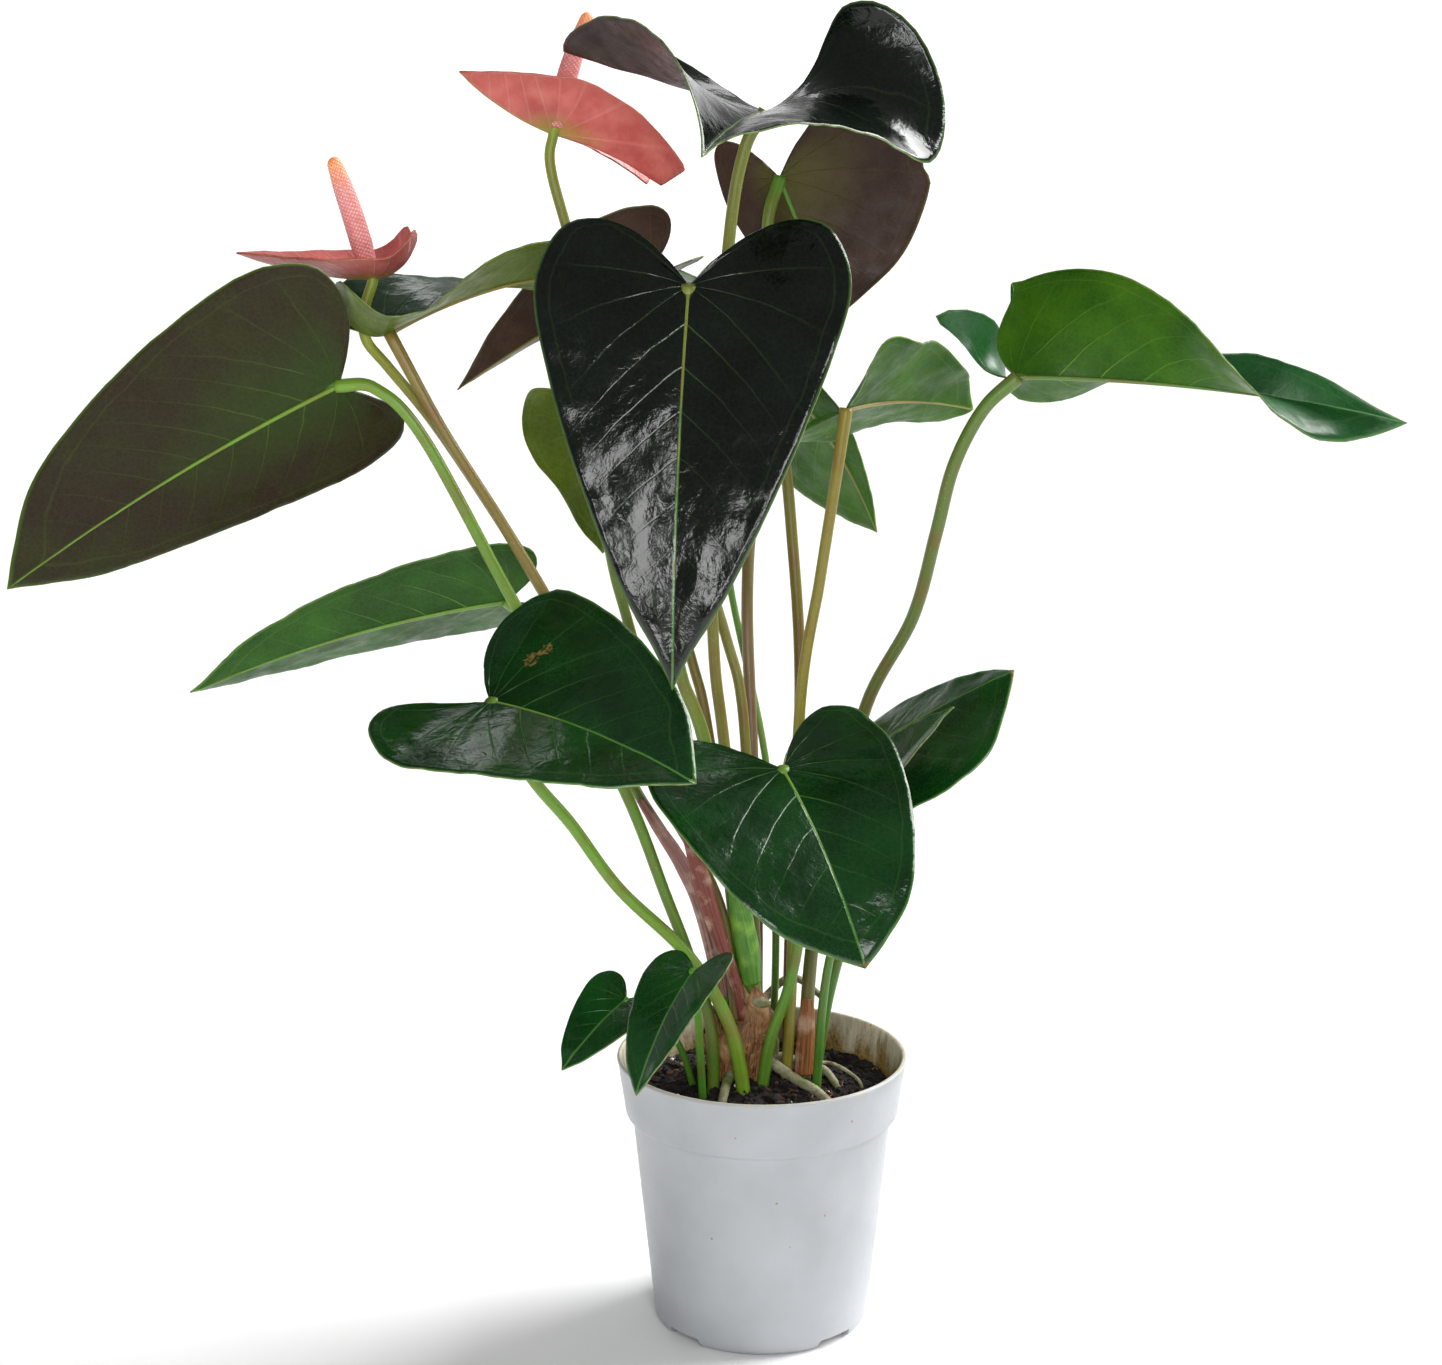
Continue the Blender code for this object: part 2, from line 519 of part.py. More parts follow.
def soil():
    look = material("soil", "#2A1D14", 0.95)
    top = wall_radius(91) - WALL - 0.35
    sides = [(wall_radius(6.3) - WALL - 0.35, FLOOR_TOP + GAP), (top, 91), (top, COLLAR_FOOT + 0.75),
             (RIM_RADIUS - 5.1, COLLAR_FOOT + 0.95), (RIM_RADIUS - 4.7, COLLAR_FOOT + 1.8),
             (RIM_RADIUS - 3.95, 99.2)]
    rings = (51, 45, 39, 33, 27, 21, 15, 9)
    angles = 2 * np.pi * np.arange(SEGMENTS) / SEGMENTS
    points = [(0, 0, FLOOR_TOP + GAP)]
    for radius, z in sides:
        points += [(radius * np.cos(a), radius * np.sin(a), z) for a in angles]
    for radius in rings:
        for a in angles:
            x, y = radius * np.cos(a), radius * np.sin(a)
            points.append((x, y, soil_height(x, y)))
    points.append((0, 0, soil_height(0, 0)))
    faces = [(0, 1 + (i + 1) % SEGMENTS, 1 + i) for i in range(SEGMENTS)]
    for level in range(len(sides) + len(rings) - 1):
        for i in range(SEGMENTS):
            a, b = 1 + level * SEGMENTS + i, 1 + level * SEGMENTS + (i + 1) % SEGMENTS
            faces += [(a, b, b + SEGMENTS), (a, b + SEGMENTS, a + SEGMENTS)]
    last = len(points) - 1
    faces += [(last, last - SEGMENTS + i, last - SEGMENTS + (i + 1) % SEGMENTS) for i in range(SEGMENTS)]
    return make("soil", points, faces, look, sharp=70)


def crown(name, grow=0):
    """The short stem: ringed by leaf scars, wider towards its top."""
    look = material(name, "#5A4330", 0.8)
    profile = [(0, CROWN_TOP + 1), (9, CROWN_TOP + 0.6), (13.2, CROWN_TOP), (14.6, 130), (14.2, 126),
               (14.4, 122), (13.2, 119), (12.8, 115), (11.2, 112), (10.2, 108), (8.6, 104), (7.6, 94),
               (6, 92), (0, 92)]
    profile = [(r + grow if r else 0, z + (grow if z > 100 else -grow)) for r, z in profile]
    made = turned(name, profile, look, segments=14)
    for vertex in made.data.vertices:
        vertex.co.x += CROWN_CENTRE[0] * MM
        vertex.co.y += CROWN_CENTRE[1] * MM
    return made


def stem():
    made = crown("stem_and_roots")
    look = made.data.materials[0]
    for line, radius in ROOTS:
        combine(made, tube("root", line, (radius, radius * 0.8), look, steps=6), "UNION")
    return made


def sheath(name, form):
    """A thin strip bent round a line, open at the back and pointed at its top."""
    look = material(name, form["colour"], 0.6)
    steps = 6
    if "around" in form:
        stalk = smooth_line(stalk_line(LEAVES[form["around"]]), 200)
        inside = (stalk[:, 2] > form["heights"][0]) & (stalk[:, 2] < form["heights"][1])
        path = even_line(stalk[inside], steps + 1)
    else:
        path = smooth_line(form["line"], steps + 1)
    radii = np.interp(np.linspace(0, 1, steps + 1), np.linspace(0, 1, len(form["radius"])), form["radius"])
    angles = np.radians(np.linspace(-75, 75, 7))
    rows = []
    for i, (place, radius) in enumerate(zip(path, radii)):
        way = path[min(i + 1, steps)] - path[max(i - 1, 0)]
        way /= np.linalg.norm(way)
        front = np.array([0, -1.0, 0])
        front -= way * (front @ way)
        front /= np.linalg.norm(front)
        right = np.cross(front, way)
        narrow = 1 - 0.6 * (i / steps) ** 3
        rows.append([place + radius * (np.cos(a * narrow) * front + np.sin(a * narrow) * right)
                     for a in angles])
    columns = len(angles)
    points = [point for row in rows for point in row]
    faces = []
    for row in range(steps):
        for i in range(columns - 1):
            a, b = row * columns + i, (row + 1) * columns + i
            faces += [(a, a + 1, b + 1), (a, b + 1, b)]
    made = make(name, points, faces, look)
    solid = made.modifiers.new("thickness", "SOLIDIFY")
    solid.thickness = SHEATH * MM
    solid.offset = 0
    settle(made)
    return made


def fix_normals(thing):
    """Turns every face outwards."""
    shape = bmesh.new()
    shape.from_mesh(thing.data)
    bmesh.ops.recalc_face_normals(shape, faces=shape.faces)
    shape.to_mesh(thing.data)
    shape.free()


def main():
    clear_scene()
    pot()
    ground = soil()
    short_stem = stem()
    combine(ground, crown("cut", grow=GAP), "DIFFERENCE")
    for line, radius in ROOTS[:-1]:
        look = ground.data.materials[0]
        cutter = tube("cut", line, (radius, radius * 0.8), look, steps=6, grow=GAP, longer=GAP)
        combine(ground, cutter, "DIFFERENCE")
    for name, form in LEAVES.items():
        leaf(name, form)
    for name, form in FLOWERS.items():
        flower(name, form)
    for name, form in SHEATHS.items():
        sheath(name, form)
    forms = list(LEAVES.values()) + list(FLOWERS.values())
    for form in forms:
        low = form["stalk"][0][2] < CROWN_TOP - 20
        line = flower_line(form) if "spadix" in form else stalk_line(form)
        body = ground if low else short_stem
        look = body.data.materials[0]
        cutter = tube("cut", line, form["radius"], look, grow=GAP, longer=GAP)
        combine(body, cutter, "DIFFERENCE")
    for thing in bpy.data.objects:
        fix_normals(thing)


main()
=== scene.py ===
"""A potted anthurium with glossy leaves and small pink flowers. Tables are in millimetres, the scene is in metres."""

import math

import bmesh
import bpy
import numpy as np
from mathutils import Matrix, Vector, noise


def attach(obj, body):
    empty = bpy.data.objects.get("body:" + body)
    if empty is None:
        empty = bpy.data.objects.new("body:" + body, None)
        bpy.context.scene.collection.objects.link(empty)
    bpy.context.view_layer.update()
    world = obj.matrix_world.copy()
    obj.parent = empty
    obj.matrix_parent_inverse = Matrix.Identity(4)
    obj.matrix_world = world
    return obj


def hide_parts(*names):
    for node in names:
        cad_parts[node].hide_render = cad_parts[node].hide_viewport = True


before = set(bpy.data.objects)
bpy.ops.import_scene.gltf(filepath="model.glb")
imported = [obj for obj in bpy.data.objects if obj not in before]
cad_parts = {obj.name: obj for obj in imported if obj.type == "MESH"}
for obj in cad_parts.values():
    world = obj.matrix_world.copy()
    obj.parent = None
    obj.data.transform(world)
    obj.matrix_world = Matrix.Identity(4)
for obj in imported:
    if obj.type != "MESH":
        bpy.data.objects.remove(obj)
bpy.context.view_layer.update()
MM = 0.001
BLADE_THICK = 0.6
SPATHE_THICK = 0.7
SOIL_LEVEL = 100.0

# Half of a heart-shaped outline, from the stalk round to the tip, as shares of the length and the half width.
HEART = ((0, 0), (-0.45, 0.17), (-0.85, 0.40), (-1.0, 0.66), (-0.75, 0.88), (0.03, 1.0),
         (0.28, 0.84), (0.53, 0.60), (0.77, 0.32), (0.91, 0.11), (1, 0))
FULLER = (0, 0, 0, 0, 0, 0, 0.07, 0.14, 0.17, 0.1, 0)

# A blade's form, as the solids have it, in millimetres and degrees. Pairs are for the sides left and right of
# the midrib.
#   at, tip: where the stalk meets the blade, and the blade's tip.
#   wide, back, full: half width, reach of the lobe behind the stalk, and extra fullness of the outline.
#   roll, droop, lobe: turn about the midrib, bend along it, and bend of the lobes.
#   fold, curl, cup, lift: rise of each half, its bend out to the margin, and its further rise in the lobes and
#   towards the tip.
#   twist, twist_from, twist_back: turn from base to tip, the share where it starts, and how far back it goes.
#   wave, ripple, spacing: height of the margin's waves and of its small ripples, and side vein spacing.
#   bite, dry_tip, scars: place, half width and depth of a missing piece, where the tip turns brown and how
#   fast, and place, side and size of brown marks.
#   stalk, radius, stem: the stalk's line and radii, and its colours at the foot and at the top.
PLAIN = dict(wide=(50, 50), back=(25, 25), full=(0, 0), roll=0, droop=20, twist=0, twist_from=0,
             twist_back=-0.12, fold=(12, 12), curl=(0, 0), cup=(0, 0), lift=(0, 0), lobe=0, wave=0, ripple=0.5,
             spacing=17, bite=None, dry_tip=(1.0, 0.01), scars=())

LEAVES = {
    "leaf_front_large": dict(
        at=(-29, -50, 438), tip=(-35, -95, 293), wide=(62, 58), back=(26, 26), droop=26, fold=(6, 6),
        stalk=((-3, -4, 125), (-4, -4, 145), (-11, -8, 190), (-24, -14, 255), (-33, -18, 282),
               (-36, -25, 313), (-33, -35, 386)),
        radius=(3.5, 3.6, 3.5, 2.8, 2.6, 2.5, 2.5, 2.9), skin="dark", under="brown",
        stem=("#6E8F2C", "#7D8A3A"), ripple=0.6),
    "leaf_front_left": dict(
        at=(-106, -49, 278), tip=(-26, -109, 261), wide=(55, 54), back=(26, 26), roll=14, droop=20,
        lobe=30, full=(0.8, 0.8), fold=(26, -2), curl=(10, 0),
        stalk=((-6, -14, 93), (-13, -16, 132), (-30, -18, 164), (-58, -22, 194), (-77, -25, 222),
               (-93, -33, 245)),
        radius=(3.0, 2.8, 2.6, 2.5, 2.5, 2.5, 2.9), skin="green", under="leafy",
        stem=("#79A52E", "#6F9A35"), scars=((0.06, 22, 5), (0.1, 28, 4))),
    "leaf_front_right": dict(
        at=(7, -50, 251), tip=(37, -110, 190), wide=(44, 56), back=(26, 26), roll=12, droop=40,
        full=(1.4, 1.4), fold=(8, 8),
        stalk=((-1, -10, 93), (3, -11, 124), (11, -13, 150), (15, -19, 178), (14, -33, 215)),
        radius=(2.6, 2.4, 2.3, 2.3, 2.3, 2.7), skin="green", under="leafy",
        stem=("#5E8A2A", "#6FA035"), dry_tip=(0.965, 0.03)),
    "leaf_right_low": dict(
        at=(49, 5, 249), tip=(100, -15, 283), wide=(25, 42), back=(15, 15), roll=50, droop=10,
        full=(1, 3), fold=(-30, 10),
        stalk=((22, 12, 93), (28, 12, 135), (40, 12, 184), (48, 11, 224)),
        radius=(2.3, 2.2, 2.1, 2.1, 2.4), skin="fresh", under="leafy",
        stem=("#4F7F2C", "#5E9335"), dry_tip=(0.95, 0.03)),
    "leaf_right_low_small": dict(
        at=(40, -25, 229), tip=(74, -40, 274), wide=(24, 16), back=(15, 15), roll=30, droop=10,
        fold=(10, 10),
        stalk=((22, -8, 93), (26, -9, 150), (35, -14, 195)),
        radius=(1.9, 1.8, 1.7, 2.0), skin="fresh", under="leafy", stem=("#4F7F2C", "#5E9335")),
    "leaf_far_right": dict(
        at=(100, 0, 398), tip=(248, -30, 384), wide=(26, 44), back=(38, 16), roll=-70, twist=150,
        twist_from=0.25, twist_back=-0.3, droop=30, lobe=60, full=(0.6, 1.4), fold=(62, 12), cup=(140, 0),
        stalk=((17, -1, 93), (21, 6, 161), (32, 23, 210), (44, 33, 258), (62, 26, 296), (70, 13, 333),
               (76, 5, 362), (87, 2, 385)),
        radius=(3.0, 2.8, 2.7, 2.7, 2.7, 2.7, 2.7, 2.7, 3.1), skin="sheen", under="bright",
        stem=("#6A6A35", "#5F8033")),
    "leaf_right_upper": dict(
        at=(33, 10, 384), tip=(91, 90, 374), wide=(45, 37), back=(8, 8), roll=-40, droop=20, full=(1, 1),
        fold=(12, 12), wave=2,
        stalk=((9, -3, 93), (12, -1, 140), (15, 6, 259), (23, 6, 316), (29, 5, 357)),
        radius=(2.4, 2.3, 2.3, 2.3, 2.3, 2.7), skin="sheen", under="bright", stem=("#8A8A30", "#9A8A3C")),
    "leaf_right_hanging": dict(
        at=(18, 79, 379), tip=(51, 99, 319), wide=(50, 17), back=(18, 18), roll=-10, droop=20,
        full=(3.5, 0), fold=(5, 5),
        stalk=((-2, 11, 125), (-2, 19, 178), (-4, 31, 241), (-6, 46, 298), (-3, 65, 334), (8, 77, 363)),
        radius=(2.5, 2.5, 2.5, 2.5, 2.5, 2.5, 2.8), skin="sheen", under="bright",
        stem=("#8A5A50", "#7F8A45")),
    "leaf_back_brown": dict(
        at=(7, 60, 473), tip=(30, 60, 415), wide=(26, 66), back=(22, 22), roll=-80, droop=20,
        full=(1.2, 1.2), fold=(10, 10),
        stalk=((11, 9, 93), (12, 16, 165), (16, 34, 264), (12, 49, 334), (6, 54, 391), (2, 55, 450)),
        radius=(2.5, 2.4, 2.4, 2.4, 2.4, 2.4, 2.8), skin="dark", under="brown",
        stem=("#8A4526", "#6A9A35"), bite=(0.72, 0.02, 0.07)),
    "leaf_top_dark": dict(
        at=(0, 0, 501), tip=(-24, -90, 487), wide=(75, 84), back=(32, 24), droop=14, lobe=15,
        full=(-0.8, -0.2), fold=(16, 13), lift=(5, 68), curl=(-70, 0), cup=(32, 8),
        stalk=((-8, 5, 125), (-9, 7, 188), (-16, 11, 249), (-20, 12, 287), (-21, 10, 356), (-14, 2, 450),
               (-8, 0, 486)),
        radius=(2.5, 2.4, 2.4, 2.4, 2.4, 2.4, 2.4, 2.8), skin="dark", under="wine",
        stem=("#8A7A35", "#7A8A35")),
    "leaf_far_left": dict(
        at=(-167, -10, 396), tip=(-304, 0, 313), wide=(58, 44), back=(24, 8), roll=60, droop=20,
        full=(1.2, 1.2), fold=(8, 5), cup=(0, 40),
        stalk=((-20, -12, 93), (-21, -11, 130), (-29, -10, 158), (-39, -10, 186), (-59, -12, 239),
               (-97, -14, 306), (-133, -14, 375), (-152, -12, 395)),
        radius=(2.6, 2.5, 2.4, 2.4, 2.4, 2.4, 2.4, 2.4, 2.8), skin="dark", under="olive",
        stem=("#5F7F2A", "#74A030")),
    "leaf_left_low": dict(
        at=(-105, 20, 304), tip=(-232, 0, 270), wide=(34, 34), back=(16, 16), roll=48, droop=20,
        full=(1, 1), fold=(8, 18),
        stalk=((-17, -2, 125), (-17, -2, 145), (-28, -1, 188), (-50, 7, 224), (-66, 14, 250),
               (-93, 22, 292)),
        radius=(2.3, 2.2, 2.2, 2.2, 2.2, 2.2, 2.6), skin="green", under="leafy",
        stem=("#5E7F2C", "#6F9A35")),
    "leaf_hanging_left": dict(
        at=(-66, 26, 374), tip=(-66, 36, 321), wide=(34, 34), back=(18, 18), roll=10, droop=20,
        fold=(5, 5), wave=3,
        stalk=((-15, 12, 125), (-21, 13, 179), (-37, 17, 228), (-55, 22, 294), (-61, 20, 318),
               (-65, 20, 345)),
        radius=(2.3, 2.2, 2.2, 2.2, 2.2, 2.2, 2.5), skin="moss", under="moss", stem=("#5E7F2C", "#7D9A35")),
    "leaf_upper_left": dict(
        at=(-147, -5, 416), tip=(-49, 20, 437), wide=(40, 34), back=(20, 20), twist=-70, twist_from=0.1,
        droop=35, lobe=25, full=(0.8, 0.8), fold=(25, 5), cup=(0, 90),
        stalk=((-11, -6, 125), (-12, -6, 145), (-19, -7, 187), (-47, -8, 239), (-87, -8, 312),
               (-105, -8, 343), (-127, -8, 379)),
        radius=(2.3, 2.2, 2.2, 2.2, 2.2, 2.2, 2.2, 2.6), skin="green", under="moss",
        stem=("#7A6A30", "#8A7A35")),
    "leaf_back_left": dict(
        at=(-50, 60, 431), tip=(-127, 60, 386), wide=(34, 34), back=(24, 24), roll=60, droop=20,
        fold=(8, 52),
        stalk=((-1, 4, 125), (-4, 12, 187), (-8, 24, 257), (-15, 31, 287), (-30, 44, 334), (-42, 54, 383)),
        radius=(2.3, 2.2, 2.2, 2.2, 2.2, 2.2, 2.5), skin="dark", under="brown", stem=("#7A7A30", "#8A8A35")),
    "leaf_back_middle": dict(
        at=(-21, 96, 427), tip=(0, 122, 404), wide=(25, 25), back=(14, 14), droop=20, fold=(8, 8),
        stalk=((4, 15, 93), (6, 18, 165), (2, 32, 232), (-13, 54, 303), (-17, 68, 341), (-20, 87, 390)),
        radius=(1.7, 1.6, 1.5, 1.5, 1.5, 1.5, 1.8), skin="green", under="leafy", stem=("#5E8F2C", "#6FA035")),
    "leaf_small_front": dict(
        at=(-28, -46, 167), tip=(-50, -80, 128), wide=(20, 22), back=(10, 10), roll=5, droop=30,
        full=(0.8, 0.8), fold=(15, 0), spacing=9,
        stalk=((-24, -17, 93), (-26, -28, 135), (-27, -38, 155)),
        radius=(1.7, 1.6, 1.5, 1.8), skin="fresh", under="leafy", stem=("#4F8F2C", "#5EA035")),
    "leaf_small_left": dict(
        at=(-56, -20, 146), tip=(-81, -40, 123), wide=(17, 17), back=(8, 8), roll=-20, droop=30,
        full=(0.6, 0.6), fold=(12, 12), spacing=8,
        stalk=((-26, -3, 93), (-36, -8, 125)),
        radius=(1.5, 1.4, 1.6), skin="fresh", under="leafy", stem=("#4F8F2C", "#5EA035")),
}

# A flower has a spathe with a blade's form, on a stalk, and a spadix along a line of its own.
FLOWERS = {
    "flower_left": dict(
        at=(-154, -5, 437), tip=(-204, -15, 448), wide=(20, 20), back=(32, 32), droop=-20, lobe=28,
        full=(0.6, 0.6), fold=(26, 30), spacing=9, ripple=0.3,
        stalk=((-18, 6, 125), (-18, 6, 145), (-31, 6, 213), (-48, 4, 240), (-88, -1, 311), (-106, -1, 342),
               (-131, 1, 380), (-148, -1, 402), (-156, -7, 414), (-156, -7, 426)),
        spadix=((-154, -5, 440), (-160, -6, 462), (-167, -7, 484)), spadix_radius=(3.4, 4.3, 4.2, 3.8, 2.6)),
    "flower_back": dict(
        at=(-85, 48, 491), tip=(-121, 34, 516), wide=(28, 28), back=(56, 50), droop=-25, lobe=-6,
        full=(0.6, 0.6), fold=(55, 40), spacing=10, ripple=0.3,
        stalk=((-8, 14, 125), (-14, 18, 188), (-23, 25, 252), (-30, 31, 280), (-51, 42, 353),
               (-78, 43, 448), (-86, 46, 478)),
        spadix=((-84, 48, 494), (-78, 49, 517), (-70, 50, 539)), spadix_radius=(3.4, 4.2, 4.1, 3.6, 2.4)),
}

# Roots that show on the soil, and the cut end of an old stalk: each a line and its radius.
ROOTS = (
    (((-4, 0, 118), (4, -6, 114), (14, -13, 109), (24, -19, 105), (31, -22, 97)), 2.2),
    (((-3, 4, 113), (7, 4, 113), (14, 5, 111), (21, 6, 109), (28, 2, 106), (34, -4, 98)), 1.8),
    (((-9, -2, 112), (-14, -13, 109), (-16, -22, 105), (-18, -27, 97)), 2.1),
    (((-2, 3, 125), (5, 3, 122), (6, 4, 112), (6, 6, 98)), 1.5),
    (((20, 6, 109), (30, 8, 108), (40, 1, 104), (43, -3, 98)), 0.8),
    (((-6, 12, 122), (3, 22, 134), (14, 23, 141), (26, 21, 133)), 1.8),
)
# Where the stem's axis stands.
CROWN = (-9.0, 4.0)

# Scales round the stem: the way each faces, its foot, height and half spread, and its radius at the foot.
SCALES = (
    (-62, 104, 20, 34, 13.2), (-30, 106, 21, 30, 13.6), (4, 102, 18, 32, 12.6), (36, 105, 20, 30, 13.4),
    (68, 108, 18, 34, 13.8), (-48, 116, 19, 30, 14.2), (-14, 114, 20, 28, 14.4), (20, 117, 18, 30, 14.3),
    (52, 118, 17, 30, 14.2), (120, 110, 20, 40, 13.9), (180, 112, 20, 40, 14.1), (240, 110, 20, 40, 13.9),
)
# Scales at the foot of the large leaf's stalk: facing, lowest and highest point, half spread and radius.
FOOT_SCALES = ((-60, 126, 152, 70, 5.0), (15, 126, 149, 65, 5.6), (70, 126, 144, 60, 5.2), (-20, 126, 141, 60, 6.4))

# Dry sheaths, each with a line of its own or round part of a leaf's stalk.
SHEATHS = {
    "sheath_red": dict(
        line=((-8, -8, 133.8), (-11, -10, 150), (-17, -12, 168), (-25, -15, 196), (-36, -18, 238)),
        radius=(1.6, 2.4, 3.4, 4.2, 3.0, 0.8), colour="#9A4A3C"),
    "sheath_pink": dict(
        around="leaf_left_low", heights=(142, 224), radius=(3.4, 3.4, 3.4, 3.3), colour="#C9938A"),
    "sheath_orange": dict(
        around="leaf_far_right", heights=(106, 140), radius=(4.0, 3.9, 3.9, 3.8), colour="#B5763C"),
}


# ---- materials

def colour(code):
    """A linear colour from an sRGB hex value."""
    parts = (int(code[i:i + 2], 16) / 255 for i in (1, 3, 5))
    return (*(c / 12.92 if c <= 0.04045 else ((c + 0.055) / 1.055) ** 2.4 for c in parts), 1)


def add(tree, kind, links=None, stops=(), **settings):
    """Adds a node with its settings. Links pair an input with a value, a hex colour, a node or one of its
    outputs, and a colour ramp's stops pair a place with a hex colour or a grey."""
    made = tree.nodes.new("ShaderNode" + kind)
    for name, value in settings.items():
        setattr(made, name, value)
    while stops and len(made.color_ramp.elements) < len(stops):
        made.color_ramp.elements.new(0.5)
    for i, (place, shade) in enumerate(stops):
        made.color_ramp.elements[i].position = place
        made.color_ramp.elements[i].color = colour(shade) if isinstance(shade, str) else (shade, shade, shade, 1)
    for name, value in (links or {}).items():
        if isinstance(value, bpy.types.Node):
            value = next(out for out in value.outputs if out.enabled)
        if isinstance(value, bpy.types.NodeSocket):
            tree.links.new(value, made.inputs[name])
        else:
            made.inputs[name].default_value = colour(value) if isinstance(value, str) else value
    return made


def start(name, **constants):
    """A new material with its tree and shader, and the shader's plain values."""
    made = bpy.data.materials.new(name)
    made.use_nodes = True
    shader = made.node_tree.nodes["Principled BSDF"]
    for label, value in constants.items():
        shader.inputs[label.replace("_", " ")].default_value = value
    return made, made.node_tree, shader


def blade_skin(name, main, second, vein, shares, rough, depth, raised=False, through=0.0, shine=0.5, flush=None):
    """A leaf's face: two shades in soft patches, with a midrib, side veins and a fine net, under a wax.
    The shares are how strongly the midrib, the side veins and the net take the vein colour, and a flush is
    the colour that spreads from the stalk."""
    made, tree, shader = start(name, IOR=1.45, Specular_IOR_Level=shine, Subsurface_Weight=through,
                               Subsurface_Radius=(0.0012, 0.0016, 0.0005), Subsurface_Scale=1.0)
    here = add(tree, "TexCoord").outputs["Object"]
    mm = add(tree, "VectorMath", {0: here, "Scale": 1000.0}, operation="SCALE")
    flat = add(tree, "SeparateXYZ", {0: add(tree, "UVMap", uv_map="blade")})
    veins = add(tree, "SeparateXYZ", {0: add(tree, "UVMap", uv_map="veins")})
    ring = veins.outputs[1]
    across = add(tree, "Math", {0: flat.outputs[1], 1: 0.5}, operation="SUBTRACT")
    across = add(tree, "Math", {0: across}, operation="ABSOLUTE")
    # The blade map counts in steps of 100 mm, so the midrib's line is about 1 mm wide.
    rib = add(tree, "MapRange", {0: across, 1: 0.002, 2: 0.007, 3: 1.0, 4: 0.0})
    # Side veins wander by about a millimetre, and grow faint towards the margin.
    wander = add(tree, "TexNoise", {"Vector": mm, "Scale": 1 / 14, "Detail": 2.0})
    field = add(tree, "Math", {0: wander, 1: 0.16, 2: veins.outputs[0]}, operation="MULTIPLY_ADD")
    field = add(tree, "Math", {0: field}, operation="FRACT")
    field = add(tree, "Math", {0: field, 1: 0.5}, operation="SUBTRACT")
    field = add(tree, "Math", {0: field}, operation="ABSOLUTE")
    side = add(tree, "MapRange", {0: field, 1: 0.468, 2: 0.5, 3: 0.0, 4: 1.0})
    fade = add(tree, "MapRange", {0: ring, 1: 0.35, 2: 0.93, 3: 1.0, 4: 0.12})
    side = add(tree, "Math", {0: side, 1: fade}, operation="MULTIPLY")
    near = add(tree, "MapRange", {0: ring, 1: 0.05, 2: 0.42, 3: 1.0, 4: 0.0})
    # A thin vein follows the margin, a few millimetres inside it.
    loop = add(tree, "Math", {0: wander, 1: 0.06, 2: ring}, operation="MULTIPLY_ADD")
    loop = add(tree, "Math", {0: loop, 1: 0.93}, operation="SUBTRACT")
    loop = add(tree, "Math", {0: loop}, operation="ABSOLUTE")
    loop = add(tree, "MapRange", {0: loop, 1: 0.002, 2: 0.009, 3: 0.4, 4: 0.0})
    lines = add(tree, "Math", {0: side, 1: loop}, operation="MAXIMUM")
    # The net of finest veins has meshes 2.4 mm wide, coarser than a real one so that it shows.
    net = add(tree, "TexVoronoi", {"Vector": mm, "Scale": 1 / 2.4}, feature="DISTANCE_TO_EDGE")
    net = add(tree, "MapRange", {0: net, 1: 0.0, 2: 0.13, 3: 1.0, 4: 0.0})
    patches = add(tree, "TexNoise", {"Vector": mm, "Scale": 1 / 24, "Detail": 4.0})
    patches = add(tree, "ValToRGB", {0: patches}, stops=((0.36, 0.0), (0.66, 1.0)))
    grain = add(tree, "TexNoise", {"Vector": mm, "Scale": 1 / 1.6, "Detail": 4.0, "Roughness": 0.7})
    shade = add(tree, "ValToRGB", {0: grain}, stops=((0.3, 0.82), (0.7, 1.0)))
    base = add(tree, "Mix", {0: patches, 6: main, 7: second}, data_type="RGBA")
    spread = add(tree, "MapRange", {0: ring, 1: 0.05, 2: 0.6, 3: 0.75 if flush else 0.0, 4: 0.0})
    base = add(tree, "Mix", {0: spread, 6: base, 7: flush or main}, data_type="RGBA")
    base = add(tree, "Mix", {0: 1.0, 6: base, 7: shade}, data_type="RGBA", blend_type="MULTIPLY")
    part = add(tree, "Math", {0: net, 1: shares[2]}, operation="MULTIPLY")
    base = add(tree, "Mix", {0: part, 6: base, 7: vein}, data_type="RGBA")
    part = add(tree, "Math", {0: near, 1: 2.2, 2: 1.0}, operation="MULTIPLY_ADD")
    part = add(tree, "Math", {0: part, 1: shares[1]}, operation="MULTIPLY")
    part = add(tree, "Math", {0: part, 1: lines}, operation="MULTIPLY", use_clamp=True)
    base = add(tree, "Mix", {0: part, 6: base, 7: vein}, data_type="RGBA")
    part = add(tree, "Math", {0: rib, 1: shares[0]}, operation="MULTIPLY")
    base = add(tree, "Mix", {0: part, 6: base, 7: vein}, data_type="RGBA")
    joint = add(tree, "MapRange", {0: ring, 1: 0.01, 2: 0.045, 3: 0.75, 4: 0.0})
    base = add(tree, "Mix", {0: joint, 6: base, 7: "#7FB04A"}, data_type="RGBA")
    edge = add(tree, "MapRange", {0: ring, 1: 0.982, 2: 1.0, 3: 0.0, 4: 0.5})
    base = add(tree, "Mix", {0: edge, 6: base, 7: vein}, data_type="RGBA")
